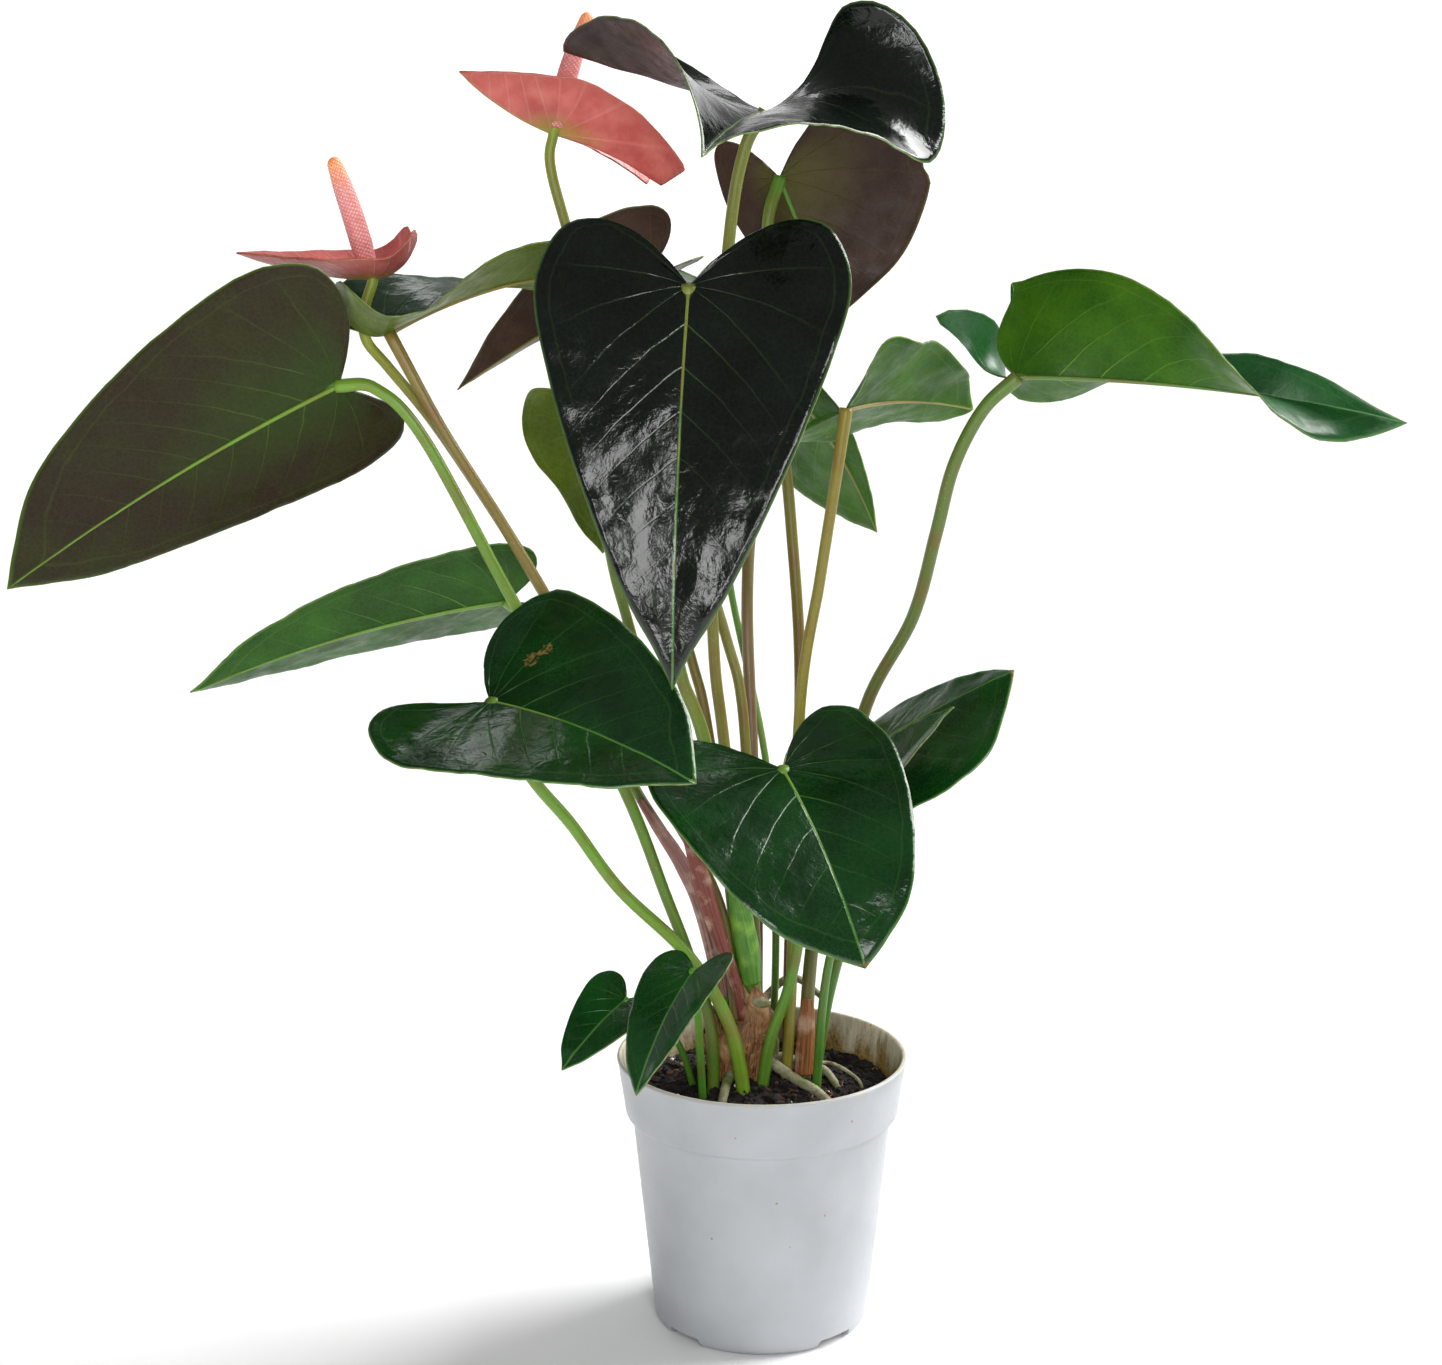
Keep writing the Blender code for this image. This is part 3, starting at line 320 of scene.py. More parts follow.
    # Worn places: dry brown tips and scars, ragged at their edges.
    worn = add(tree, "Attribute", attribute_name="worn").outputs["Fac"]
    worn = add(tree, "Math", {0: grain, 1: 0.9, 2: worn}, operation="MULTIPLY_ADD")
    worn = add(tree, "MapRange", {0: worn, 1: 0.92, 2: 1.02, 3: 0.0, 4: 1.0})
    scar = add(tree, "ValToRGB", {0: grain}, stops=((0.35, "#3E2A14"), (0.65, "#8A7038")))
    base = add(tree, "Mix", {0: worn, 6: base, 7: scar}, data_type="RGBA")
    tree.links.new(base.outputs[2], shader.inputs["Base Color"])
    gloss = add(tree, "TexNoise", {"Vector": mm, "Scale": 1 / 9, "Detail": 5.0, "Roughness": 0.6})
    gloss = add(tree, "MapRange", {0: gloss, 1: 0.32, 2: 0.68, 3: rough * 0.7, 4: rough * 1.5})
    gloss = add(tree, "Math", {0: worn, 1: 0.4, 2: gloss}, operation="MULTIPLY_ADD")
    tree.links.new(gloss.outputs[0], shader.inputs["Roughness"])
    # Waves 7 mm long between the veins and pores of 1.6 mm crinkle what the wax mirrors.
    quilt = add(tree, "TexNoise", {"Vector": mm, "Scale": 1 / 7, "Detail": 3.0, "Distortion": 0.4})
    height = add(tree, "Math", {0: grain, 1: 0.1, 2: quilt}, operation="MULTIPLY_ADD")
    ridge = add(tree, "Math", {0: side, 1: 0.7}, operation="MULTIPLY")
    ridge = add(tree, "Math", {0: rib, 1: ridge}, operation="MAXIMUM")
    ridge = add(tree, "Math", {0: net, 1: 0.08, 2: ridge}, operation="MULTIPLY_ADD")
    height = add(tree, "Math", {0: ridge, 1: 0.9 if raised else -0.3, 2: height}, operation="MULTIPLY_ADD")
    bump = add(tree, "Bump", {"Height": height, "Strength": 1.0, "Distance": depth * MM})
    tree.links.new(bump.outputs[0], shader.inputs["Normal"])
    return made


SKINS = {
    # Wax over a mature blade: nearly black green, and as bright as wet paint where it mirrors a window.
    "dark": blade_skin("mature_leaf_wax", "#050906", "#0B120D", "#5E8444", (0.75, 0.12, 0.02), 0.13, 0.42),
    # The same wax over a full-grown blade: deep green between faint veins, with soft streaks of shine.
    "green": blade_skin("leaf_wax", "#05260A", "#0A3810", "#5F9640", (0.5, 0.16, 0.025), 0.16, 0.5),
    # A young blade's thinner wax: livelier green and a softer shine.
    "fresh": blade_skin("young_leaf_wax", "#093410", "#104818", "#66A044", (0.42, 0.14, 0.025), 0.2, 0.36),
    # A thin blade with light behind it: yellow green, with its veins a little darker than the flesh.
    "bright": blade_skin("sunlit_thin_leaf", "#244E0A", "#3A660E", "#7A9E3A", (0.6, 0.3, 0.06), 0.42, 0.25,
                         raised=True, through=0.35, shine=0.14),
    # Wax over a thin blade: bluish where it mirrors the sky, between darker streaks.
    "sheen": blade_skin("sunlit_leaf_wax", "#15491E", "#225E2A", "#6FA062", (0.45, 0.22, 0.05), 0.34, 0.4,
                        through=0.15, shine=0.4),
    # A pale blade with light behind it: moss green and nearly matt.
    "moss": blade_skin("sunlit_pale_leaf", "#485A0E", "#5C6E16", "#8A9C3E", (0.6, 0.3, 0.08), 0.4, 0.25,
                       raised=True, through=0.3, shine=0.2),
}
UNDERS = {
    # Bare underside of a mature blade: matt mauve brown, veins standing out in dull green.
    "brown": blade_skin("brown_leaf_underside", "#3A261F", "#4C372E", "#6E6A34", (0.7, 0.2, 0.04), 0.4, 0.3,
                        raised=True, through=0.1, shine=0.2, flush="#5A5A22"),
    # Bare underside of the darkest blade: wine brown, nearly black, and matt.
    "wine": blade_skin("wine_leaf_underside", "#1C0F0C", "#2A1813", "#4E3A22", (0.6, 0.2, 0.03), 0.36, 0.3,
                       raised=True, through=0.05, shine=0.2),
    # Bare underside in half shade: brown olive, greener round the stalk, with a green midrib.
    "olive": blade_skin("olive_leaf_underside", "#2A1F12", "#2C2C10", "#5F8226", (0.6, 0.17, 0.04), 0.4, 0.3,
                        raised=True, through=0.1, shine=0.2, flush="#2A4410"),
    # Bare underside of a green blade: leaf green, matt, with raised veins.
    "leafy": blade_skin("green_leaf_underside", "#1F440E", "#2E5C14", "#6B9A3A", (0.75, 0.3, 0.06), 0.4, 0.3,
                        raised=True, through=0.2, shine=0.25),
    "bright": SKINS["bright"],
    "moss": SKINS["moss"],
}


def leaf_margin():
    """The blade's cut edge, where clear cartilage shows as a thin pale line."""
    made, tree, shader = start("leaf_margin_cartilage", Roughness=0.4)
    here = add(tree, "TexCoord").outputs["Object"]
    grain = add(tree, "TexNoise", {"Vector": here, "Scale": 1000 / 3, "Detail": 3.0})
    shade = add(tree, "ValToRGB", {0: grain}, stops=((0.3, "#3C5526"), (0.7, "#7C8F50")))
    tree.links.new(shade.outputs[0], shader.inputs["Base Color"])
    return made


def stalk_skin():
    """Leaf stalk skin: its own colour along its length, with long streaks, pale pores and rusty patches."""
    made, tree, shader = start("leaf_stalk_skin", Roughness=0.32, IOR=1.42)
    here = add(tree, "TexCoord").outputs["Object"]
    mm = add(tree, "VectorMath", {0: here, "Scale": 1000.0}, operation="SCALE")
    tint = add(tree, "Attribute", attribute_name="tint").outputs["Color"]
    along = add(tree, "UVMap", uv_map="round")
    # Streaks half a millimetre wide run for centimetres.
    long = add(tree, "Mapping", {0: along, "Scale": (26.0, 0.9, 1.0)})
    streaks = add(tree, "TexNoise", {"Vector": long, "Scale": 1.0, "Detail": 4.0})
    shade = add(tree, "ValToRGB", {0: streaks}, stops=((0.25, 0.62), (0.75, 1.0)))
    base = add(tree, "Mix", {0: 1.0, 6: tint, 7: shade}, data_type="RGBA", blend_type="MULTIPLY")
    pores = add(tree, "TexVoronoi", {"Vector": mm, "Scale": 0.55})
    pores = add(tree, "MapRange", {0: pores, 1: 0.08, 2: 0.16, 3: 0.45, 4: 0.0})
    base = add(tree, "Mix", {0: pores, 6: base, 7: "#B9B27A"}, data_type="RGBA")
    rust = add(tree, "TexNoise", {"Vector": mm, "Scale": 1 / 14, "Detail": 4.0})
    rust = add(tree, "ValToRGB", {0: rust}, stops=((0.48, 0.0), (0.72, 0.45)))
    base = add(tree, "Mix", {0: rust, 6: base, 7: "#7A4A2C"}, data_type="RGBA")
    tree.links.new(base.outputs[2], shader.inputs["Base Color"])
    bump = add(tree, "Bump", {"Height": streaks, "Strength": 0.3, "Distance": 0.0006})
    tree.links.new(bump.outputs[0], shader.inputs["Normal"])
    return made


def spathe_skin(name, main, second, green):
    """A spathe's wax: salmon pink with paler veins, and yellow green where it meets its stalk."""
    made, tree, shader = start(name, Roughness=0.34, IOR=1.42, Subsurface_Weight=0.25,
                               Subsurface_Radius=(0.004, 0.0015, 0.001), Subsurface_Scale=1.0)
    here = add(tree, "TexCoord").outputs["Object"]
    mm = add(tree, "VectorMath", {0: here, "Scale": 1000.0}, operation="SCALE")
    flat = add(tree, "SeparateXYZ", {0: add(tree, "UVMap", uv_map="blade")})
    veins = add(tree, "SeparateXYZ", {0: add(tree, "UVMap", uv_map="veins")})
    across = add(tree, "Math", {0: flat.outputs[1], 1: 0.5}, operation="SUBTRACT")
    across = add(tree, "Math", {0: across}, operation="ABSOLUTE")
    rib = add(tree, "MapRange", {0: across, 1: 0.003, 2: 0.012, 3: 1.0, 4: 0.0})
    field = add(tree, "Math", {0: veins.outputs[0]}, operation="FRACT")
    field = add(tree, "Math", {0: field, 1: 0.5}, operation="SUBTRACT")
    field = add(tree, "Math", {0: field}, operation="ABSOLUTE")
    side = add(tree, "MapRange", {0: field, 1: 0.42, 2: 0.5, 3: 0.0, 4: 1.0})
    soft = add(tree, "TexNoise", {"Vector": mm, "Scale": 1 / 9, "Detail": 4.0})
    base = add(tree, "ValToRGB", {0: soft}, stops=((0.35, main), (0.65, second)))
    near = add(tree, "MapRange", {0: veins.outputs[1], 1: 0.06, 2: 0.4, 3: 0.85, 4: 0.0})
    part = add(tree, "Math", {0: rib, 1: 0.5}, operation="MULTIPLY")
    near = add(tree, "Math", {0: near, 1: part}, operation="MAXIMUM")
    base = add(tree, "Mix", {0: near, 6: base, 7: green}, data_type="RGBA")
    part = add(tree, "Math", {0: side, 1: 0.22}, operation="MULTIPLY")
    base = add(tree, "Mix", {0: part, 6: base, 7: "#E7A79A"}, data_type="RGBA")
    edge = add(tree, "MapRange", {0: veins.outputs[1], 1: 0.72, 2: 1.0, 3: 0.0, 4: 0.7})
    edge = add(tree, "Math", {0: edge, 1: soft}, operation="MULTIPLY")
    base = add(tree, "Mix", {0: edge, 6: base, 7: "#7A3A22"}, data_type="RGBA")
    tree.links.new(base.outputs[2], shader.inputs["Base Color"])
    fine = add(tree, "TexNoise", {"Vector": mm, "Scale": 1 / 2.4, "Detail": 4.0})
    height = add(tree, "Math", {0: side, 1: 0.6, 2: fine}, operation="MULTIPLY_ADD")
    bump = add(tree, "Bump", {"Height": height, "Strength": 0.5, "Distance": 0.0008})
    tree.links.new(bump.outputs[0], shader.inputs["Normal"])
    return made


def spadix_skin():
    """Spadix: hundreds of fleshy florets with pale moist tips, rose at the foot and orange at the tip."""
    made, tree, shader = start("spadix_florets", Roughness=0.45, Subsurface_Weight=0.2,
                               Subsurface_Radius=(0.003, 0.001, 0.001), Subsurface_Scale=1.0)
    along = add(tree, "SeparateXYZ", {0: add(tree, "UVMap", uv_map="round")}).outputs[1]
    shade = add(tree, "ValToRGB", {0: along},
                stops=((0.0, "#CC6F72"), (0.72, "#D68480"), (0.9, "#E88A52"), (1.0, "#EE8F3C")))
    beads = add(tree, "Attribute", attribute_name="tint").outputs["Fac"]
    here = add(tree, "TexCoord").outputs["Object"]
    moist = add(tree, "TexNoise", {"Vector": here, "Scale": 1000 / 1.5, "Detail": 3.0})
    beads = add(tree, "Math", {0: moist, 1: beads}, operation="MULTIPLY")
    tips = add(tree, "ValToRGB", {0: beads}, stops=((0.18, 0.0), (0.5, 0.75)))
    base = add(tree, "Mix", {0: tips, 6: shade, 7: "#F5CFC4"}, data_type="RGBA")
    tree.links.new(base.outputs[2], shader.inputs["Base Color"])
    return made


def pot_plastic():
    """Moulded polypropylene: satin white, its colour darkened to a pale grey as painted shade, with faint scuffs and
    specks, and brown algae stains inside.
    """
    made, tree, shader = start("white_polypropylene", IOR=1.49, Subsurface_Weight=0.1,
                               Subsurface_Radius=(0.003, 0.003, 0.003), Subsurface_Scale=1.0)
    here = add(tree, "TexCoord").outputs["Object"]
    mm = add(tree, "VectorMath", {0: here, "Scale": 1000.0}, operation="SCALE")
    xyz = add(tree, "SeparateXYZ", {0: mm})
    level = add(tree, "CombineXYZ", {0: xyz.outputs[0], 1: xyz.outputs[1]})
    wide = add(tree, "VectorMath", {0: level}, operation="LENGTH").outputs["Value"]
    # The inner wall is everything nearer the axis than the middle of the collar's thickness.
    wall = add(tree, "Math", {0: xyz.outputs[2], 1: 0.1287, 2: 60.0 - 0.1287 * 114.2 - 0.75},
               operation="MULTIPLY_ADD")
    inside = add(tree, "Math", {0: wide, 1: wall}, operation="LESS_THAN")
    above = add(tree, "Math", {0: xyz.outputs[2], 1: 94.0}, operation="GREATER_THAN")
    inside = add(tree, "Math", {0: inside, 1: above}, operation="MULTIPLY")
    cloud = add(tree, "TexNoise", {"Vector": mm, "Scale": 1 / 30, "Detail": 3.0})
    # The white plastic is drawn in a darker grey: painted shade standing in for the dim light on the pot's front.
    base = add(tree, "ValToRGB", {0: cloud}, stops=((0.3, "#A2A5A9"), (0.7, "#AEB1B5")))
    runs = add(tree, "Mapping", {0: mm, "Scale": (0.11, 0.11, 0.03)})
    stains = add(tree, "TexNoise", {"Vector": runs, "Scale": 1.0, "Detail": 6.0, "Roughness": 0.7})
    low = add(tree, "MapRange", {0: xyz.outputs[2], 1: 100.0, 2: 117.0, 3: 0.3, 4: -0.02})
    stains = add(tree, "Math", {0: stains, 1: low}, operation="ADD")
    stains = add(tree, "ValToRGB", {0: stains}, stops=((0.5, 0.0), (0.78, 1.0)))
    spots = add(tree, "TexNoise", {"Vector": mm, "Scale": 1 / 1.2, "Detail": 4.0})
    grime = add(tree, "ValToRGB", {0: spots}, stops=((0.4, "#9A7F45"), (0.7, "#4A3820")))
    stained = add(tree, "Mix", {0: stains, 6: "#D6CFBC", 7: grime}, data_type="RGBA")
    base = add(tree, "Mix", {0: inside, 6: base, 7: stained}, data_type="RGBA")
    dots = add(tree, "TexVoronoi", {"Vector": mm, "Scale": 0.075})
    dots = add(tree, "Math", {0: dots, 1: 0.04}, operation="LESS_THAN")
    dots = add(tree, "Math", {0: dots, 1: 0.75}, operation="MULTIPLY")
    base = add(tree, "Mix", {0: dots, 6: base, 7: "#8A6A45"}, data_type="RGBA")
    high = add(tree, "MapRange", {0: xyz.outputs[2], 1: 114.0, 2: 116.2, 3: 0.0, 4: 1.0})
    smear = add(tree, "TexNoise", {"Vector": mm, "Scale": 1 / 6, "Detail": 5.0, "Roughness": 0.7})
    smear = add(tree, "ValToRGB", {0: smear}, stops=((0.42, 0.0), (0.72, 0.7)))
    smear = add(tree, "Math", {0: smear, 1: high}, operation="MULTIPLY")
    base = add(tree, "Mix", {0: smear, 6: base, 7: "#B9A878"}, data_type="RGBA")
    tree.links.new(base.outputs[2], shader.inputs["Base Color"])
    scuff = add(tree, "TexNoise", {"Vector": mm, "Scale": 1 / 2.5, "Detail": 5.0, "Roughness": 0.7})
    scuff = add(tree, "MapRange", {0: scuff, 1: 0.3, 2: 0.8, 3: 0.34, 4: 0.5})
    tree.links.new(scuff.outputs[0], shader.inputs["Roughness"])
    # The mould's satin grain is drawn 0.8 mm wide, coarser than it is, so that it shows.
    satin = add(tree, "TexNoise", {"Vector": mm, "Scale": 1 / 0.8, "Detail": 3.0})
    bump = add(tree, "Bump", {"Height": satin, "Strength": 0.12, "Distance": 0.0004})
    tree.links.new(bump.outputs[0], shader.inputs["Normal"])
    return made


def peat():
    """Damp peat: crumbled by hand, near black, with brown fibres and crumbs of many sizes."""
    made, tree, shader = start("damp_peat", Roughness=0.85)
    here = add(tree, "TexCoord").outputs["Object"]
    mm = add(tree, "VectorMath", {0: here, "Scale": 1000.0}, operation="SCALE")
    crumbs = add(tree, "TexNoise", {"Vector": mm, "Scale": 1 / 2.2, "Detail": 6.0, "Roughness": 0.75})
    base = add(tree, "ValToRGB", {0: crumbs},
               stops=((0.3, "#050303"), (0.5, "#100A07"), (0.68, "#281A13"), (0.8, "#4A3222")))
    long = add(tree, "Mapping", {0: mm, "Rotation": (0.0, 0.0, 0.7), "Scale": (0.12, 1.3, 0.6)})
    threads = add(tree, "TexNoise", {"Vector": long, "Scale": 1.0, "Detail": 5.0, "Distortion": 1.5})
    threads = add(tree, "ValToRGB", {0: threads}, stops=((0.6, 0.0), (0.68, 0.7)))
    base = add(tree, "Mix", {0: threads, 6: base, 7: "#4E3422"}, data_type="RGBA")
    tree.links.new(base.outputs[2], shader.inputs["Base Color"])
    bump = add(tree, "Bump", {"Height": crumbs, "Strength": 0.9, "Distance": 0.0025})
    tree.links.new(bump.outputs[0], shader.inputs["Normal"])
    return made


def plain_grain(name, dark, light, size, rough, depth):
    """A matt natural surface of two shades, in grains of a size given in millimetres."""
    made, tree, shader = start(name, Roughness=rough)
    here = add(tree, "TexCoord").outputs["Object"]
    grain = add(tree, "TexNoise", {"Vector": here, "Scale": 1000 / size, "Detail": 5.0, "Roughness": 0.65})
    base = add(tree, "ValToRGB", {0: grain}, stops=((0.32, dark), (0.68, light)))
    tree.links.new(base.outputs[0], shader.inputs["Base Color"])
    bump = add(tree, "Bump", {"Height": grain, "Strength": 0.7, "Distance": depth * MM})
    tree.links.new(bump.outputs[0], shader.inputs["Normal"])
    return made


def root_skin():
    """Aerial root: grey-green spongy velamen, browner and mossier in patches."""
    made, tree, shader = start("root_velamen", Roughness=0.75)
    here = add(tree, "TexCoord").outputs["Object"]
    mm = add(tree, "VectorMath", {0: here, "Scale": 1000.0}, operation="SCALE")
    grain = add(tree, "TexNoise", {"Vector": mm, "Scale": 1 / 1.6, "Detail": 5.0, "Roughness": 0.7})
    base = add(tree, "ValToRGB", {0: grain}, stops=((0.3, "#6E6A4E"), (0.7, "#A5A283")))
    moss = add(tree, "TexNoise", {"Vector": mm, "Scale": 1 / 11, "Detail": 3.0})
    moss = add(tree, "ValToRGB", {0: moss}, stops=((0.46, 0.0), (0.62, 0.8)))
    base = add(tree, "Mix", {0: moss, 6: base, 7: "#5E6B35"}, data_type="RGBA")
    bark = add(tree, "TexNoise", {"Vector": mm, "Scale": 1 / 7, "Detail": 4.0})
    bark = add(tree, "ValToRGB", {0: bark}, stops=((0.56, 0.0), (0.7, 0.85)))
    base = add(tree, "Mix", {0: bark, 6: base, 7: "#5A4028"}, data_type="RGBA")
    tree.links.new(base.outputs[2], shader.inputs["Base Color"])
    bump = add(tree, "Bump", {"Height": grain, "Strength": 0.7, "Distance": 0.0008})
    tree.links.new(bump.outputs[0], shader.inputs["Normal"])
    return made


def papery(name, main, dark, pale):
    """A dried sheath: papery, with long fibres, darker patches and pale worn places."""
    made, tree, shader = start(name, Roughness=0.42, Subsurface_Weight=0.15,
                               Subsurface_Radius=(0.002, 0.001, 0.0007), Subsurface_Scale=1.0)
    here = add(tree, "TexCoord").outputs["Object"]
    along = add(tree, "UVMap", uv_map="round")
    long = add(tree, "Mapping", {0: along, "Scale": (30.0, 1.4, 1.0)})
    fibres = add(tree, "TexNoise", {"Vector": long, "Scale": 1.0, "Detail": 5.0})
    base = add(tree, "ValToRGB", {0: fibres}, stops=((0.35, dark), (0.65, main)))
    patch = add(tree, "TexNoise", {"Vector": here, "Scale": 1000 / 9, "Detail": 5.0})
    patch = add(tree, "ValToRGB", {0: patch}, stops=((0.5, 0.0), (0.72, 0.8)))
    base = add(tree, "Mix", {0: patch, 6: base, 7: pale}, data_type="RGBA")
    tree.links.new(base.outputs[2], shader.inputs["Base Color"])
    bump = add(tree, "Bump", {"Height": fibres, "Strength": 0.7, "Distance": 0.0008})
    tree.links.new(bump.outputs[0], shader.inputs["Normal"])
    return made


MARGIN = leaf_margin()
STALK = stalk_skin()
# The upper face has the deeper pink, and the underside is duller.
SPATHE_TOP = spathe_skin("spathe_wax", "#B65856", "#C8706C", "#9A9A45")
SPATHE_UNDER = spathe_skin("spathe_underside", "#B05A56", "#C4766E", "#9C9A40")
# A spathe's edge dries first, to a dull red brown.
SPATHE_EDGE = plain_grain("spathe_edge", "#8A3A2C", "#B06A4A", 3.0, 0.45, 0.2)
SPADIX = spadix_skin()
POT = pot_plastic()
PEAT = peat()
# Old bark peels off the stem in paper-thin layers, brown with tan edges.
BARK = plain_grain("papery_stem_bark", "#2E1C12", "#8A6444", 2.0, 0.8, 1.2)
ROOT = root_skin()
# Perlite is white volcanic glass, puffed up into chalky crumbs.
PERLITE = plain_grain("expanded_perlite", "#C9C6BC", "#EDEBE4", 0.7, 0.85, 0.4)
# Twigs and coir in the peat are reddish brown and dull.
TWIG = plain_grain("dry_twigs", "#3A2016", "#8A5A3C", 1.1, 0.85, 0.3)
# The green foot of a stalk, where it clasped the stem: smooth, juicy and bright.
FOOT = papery("green_stalk_foot", "#5E9A22", "#3A6A16", "#86B43A")
# Scales that once wrapped the leaf buds, dried to orange-brown paper.
SCALE = papery("dried_bud_scale", "#A8784A", "#4A2C18", "#C8A272")


# ---- shapes

def smooth_line(points, count):
    """Points on a smooth curve through the given ones, at equal steps of its parameter."""
    points = np.array(points, float)
    ends = np.vstack([2 * points[0] - points[1], points, 2 * points[-1] - points[-2]])
    line = []
    for place in np.linspace(0, len(points) - 1, count):
        i = min(int(place), len(points) - 2)
        t = place - i
        a, b, c, d = ends[i:i + 4]
        line.append(0.5 * (2 * b + (c - a) * t + (2 * a - 5 * b + 4 * c - d) * t**2
                           + (3 * b - a - 3 * c + d) * t**3))
    return np.array(line)


def even_line(points, count):
    """Points at equal distances on the smooth curve."""
    fine = smooth_line(points, 600)
    walked = np.concatenate([[0], np.cumsum(np.linalg.norm(np.diff(fine, axis=0), axis=1))])
    places = np.linspace(0, walked[-1], count)
    return np.stack([np.interp(places, walked, fine[:, i]) for i in range(fine.shape[1])], -1)


def half_outline(count, length, wide, back, full):
    """One half of a flat blade's outline, from the stalk round the lobe to the tip."""
    points = np.array(HEART, float)
    points[:, 1] += full * np.array(FULLER)
    points[:, 0] *= np.where(points[:, 0] < 0, back, length)
    points[:, 1] *= wide
    return even_line(points, count)


def midrib(form):
    """The midrib's points in its own upright plane, with its slopes, from behind the stalk to the tip."""
    share = np.linspace(-1, 1, 201)
    ahead = np.maximum(share, 0)
    behind = np.maximum(-share, 0)
    slope = np.radians(form["droop"]) * (0.5 - ahead) - np.radians(form["lobe"]) * behind / 0.2
    slope = np.maximum(slope, -2.4)
    step = np.stack([np.cos(slope), np.sin(slope)], -1)
    line = np.vstack([[0, 0], np.cumsum((step[1:] + step[:-1]) / 200, axis=0)])
    line -= line[100]
    chord = np.linalg.norm(np.subtract(form["tip"], form["at"]))
    length = chord / np.linalg.norm(line[-1])
    line *= length
    tilt = np.arctan2(line[-1, 1], line[-1, 0])
    turn = np.array([[np.cos(tilt), np.sin(tilt)], [-np.sin(tilt), np.cos(tilt)]])
    return share, line @ turn.T, slope - tilt, length


def bowed(distance, first, rate):
    """How far out and up an arc comes that starts at an angle and bends at a steady rate."""
    rate = np.where(np.abs(rate) < 1e-6, 1e-6, rate)
    last = first + rate * distance
    return (np.sin(last) - np.sin(first)) / rate, (np.cos(first) - np.cos(last)) / rate


def bend_blade(along, across, left, ring, turn, form, lift=0):
    """Where points of the flat outline come in the bent blade, lifted from it by a height."""
    share, line, slope, length = midrib(form)
    pick = [np.where(left, *form[key]) for key in ("wide", "fold", "curl", "cup", "lift")]
    wide, fold, curl, cup, rising = pick
    rear = np.clip(0.5 - (along / length) / 0.4, 0, 1.5) ** 2
    rise = np.radians(fold + cup * rear + rising * np.clip(along / length, 0, 1))
    out, up = bowed(np.abs(across), rise, np.radians(curl) / wide)
    out = np.where(left, out, -out)
    up = up + form["wave"] * ring**3 * np.sin(6 * np.pi * turn) + lift
    place = along / length
    twisted = np.maximum((place - form["twist_from"]) / (1 - form["twist_from"]), form["twist_back"])
    angle = np.radians(form["twist"]) * twisted
    out, up = out * np.cos(angle) - up * np.sin(angle), out * np.sin(angle) + up * np.cos(angle)
    tilt = np.interp(place, share, slope)
    ahead = np.interp(place, share, line[:, 0]) - up * np.sin(tilt)
    height = np.interp(place, share, line[:, 1]) + up * np.cos(tilt)
    return np.stack([ahead, out, height], -1)


def directions(form):
    """The blade's own ahead, left and up in the room."""
    ahead = np.subtract(form["tip"], form["at"]).astype(float)
    ahead /= np.linalg.norm(ahead)
    up = np.array([0, 0, 1.0]) - ahead * ahead[2]
    up /= np.linalg.norm(up)
    left = np.cross(up, ahead)
    roll = np.radians(form["roll"])
    return np.stack([ahead, left * np.cos(roll) + up * np.sin(roll), up * np.cos(roll) - left * np.sin(roll)])


def close_up(bm):
    """Merges the points that meet along a seam, and closes the open ends."""
    bmesh.ops.remove_doubles(bm, verts=bm.verts, dist=1e-6)
    bmesh.ops.holes_fill(bm, edges=[e for e in bm.edges if e.is_boundary], sides=0)


def put(bm, name):
    """Puts a finished shape in the scene, as an object at the origin."""
    mesh = bpy.data.meshes.new(name)
    bm.to_mesh(mesh)
    bm.free()
    made = bpy.data.objects.new(name, mesh)
    bpy.context.scene.collection.objects.link(made)
    return made


def finish(bm, name, looks, node, flat=False):
    """Makes the object, shades it smooth and hands it to the frame in its node's place."""
    made = put(bm, name)
    for look in looks:
        made.data.materials.append(look)
    if not flat:
        made.data.shade_smooth()
    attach(made, "root")
    if node:
        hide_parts(node)
    return made


def grid(columns, rows):
    """A flat grid, with each vertex's share of the way across and up it."""
    bm = bmesh.new()
    bmesh.ops.create_grid(bm, x_segments=columns, y_segments=rows, size=1)
    bm.verts.ensure_lookup_table()
    shares = np.array([((v.co.x + 1) / 2, (v.co.y + 1) / 2) for v in bm.verts])
    return bm, shares


def map_faces(bm, name, values):
    """Gives each face corner its vertex's pair of values as a flat map."""
    layer = bm.loops.layers.uv.new(name)
    bm.verts.index_update()
    pairs = [tuple(float(c) for c in value) for value in values]
    for face in bm.faces:
        for loop in face.loops:
            loop[layer].uv = pairs[loop.vert.index]


def vein_field(along, across, form):
    """A number that steps by one from each side vein to the next: the veins curve from the midrib to the
    margin, and spread from the stalk in the lobes."""
    wide = max(form["wide"])
    away = np.abs(across)
    reach = away * (0.75 + 0.55 * away / wide)
    ahead = along - reach
    angle = np.arctan2(away, along)
    rest = np.arctan2(away, reach)
    return np.where(ahead >= 0, ahead / form["spacing"], -(angle - rest) / math.radians(27))


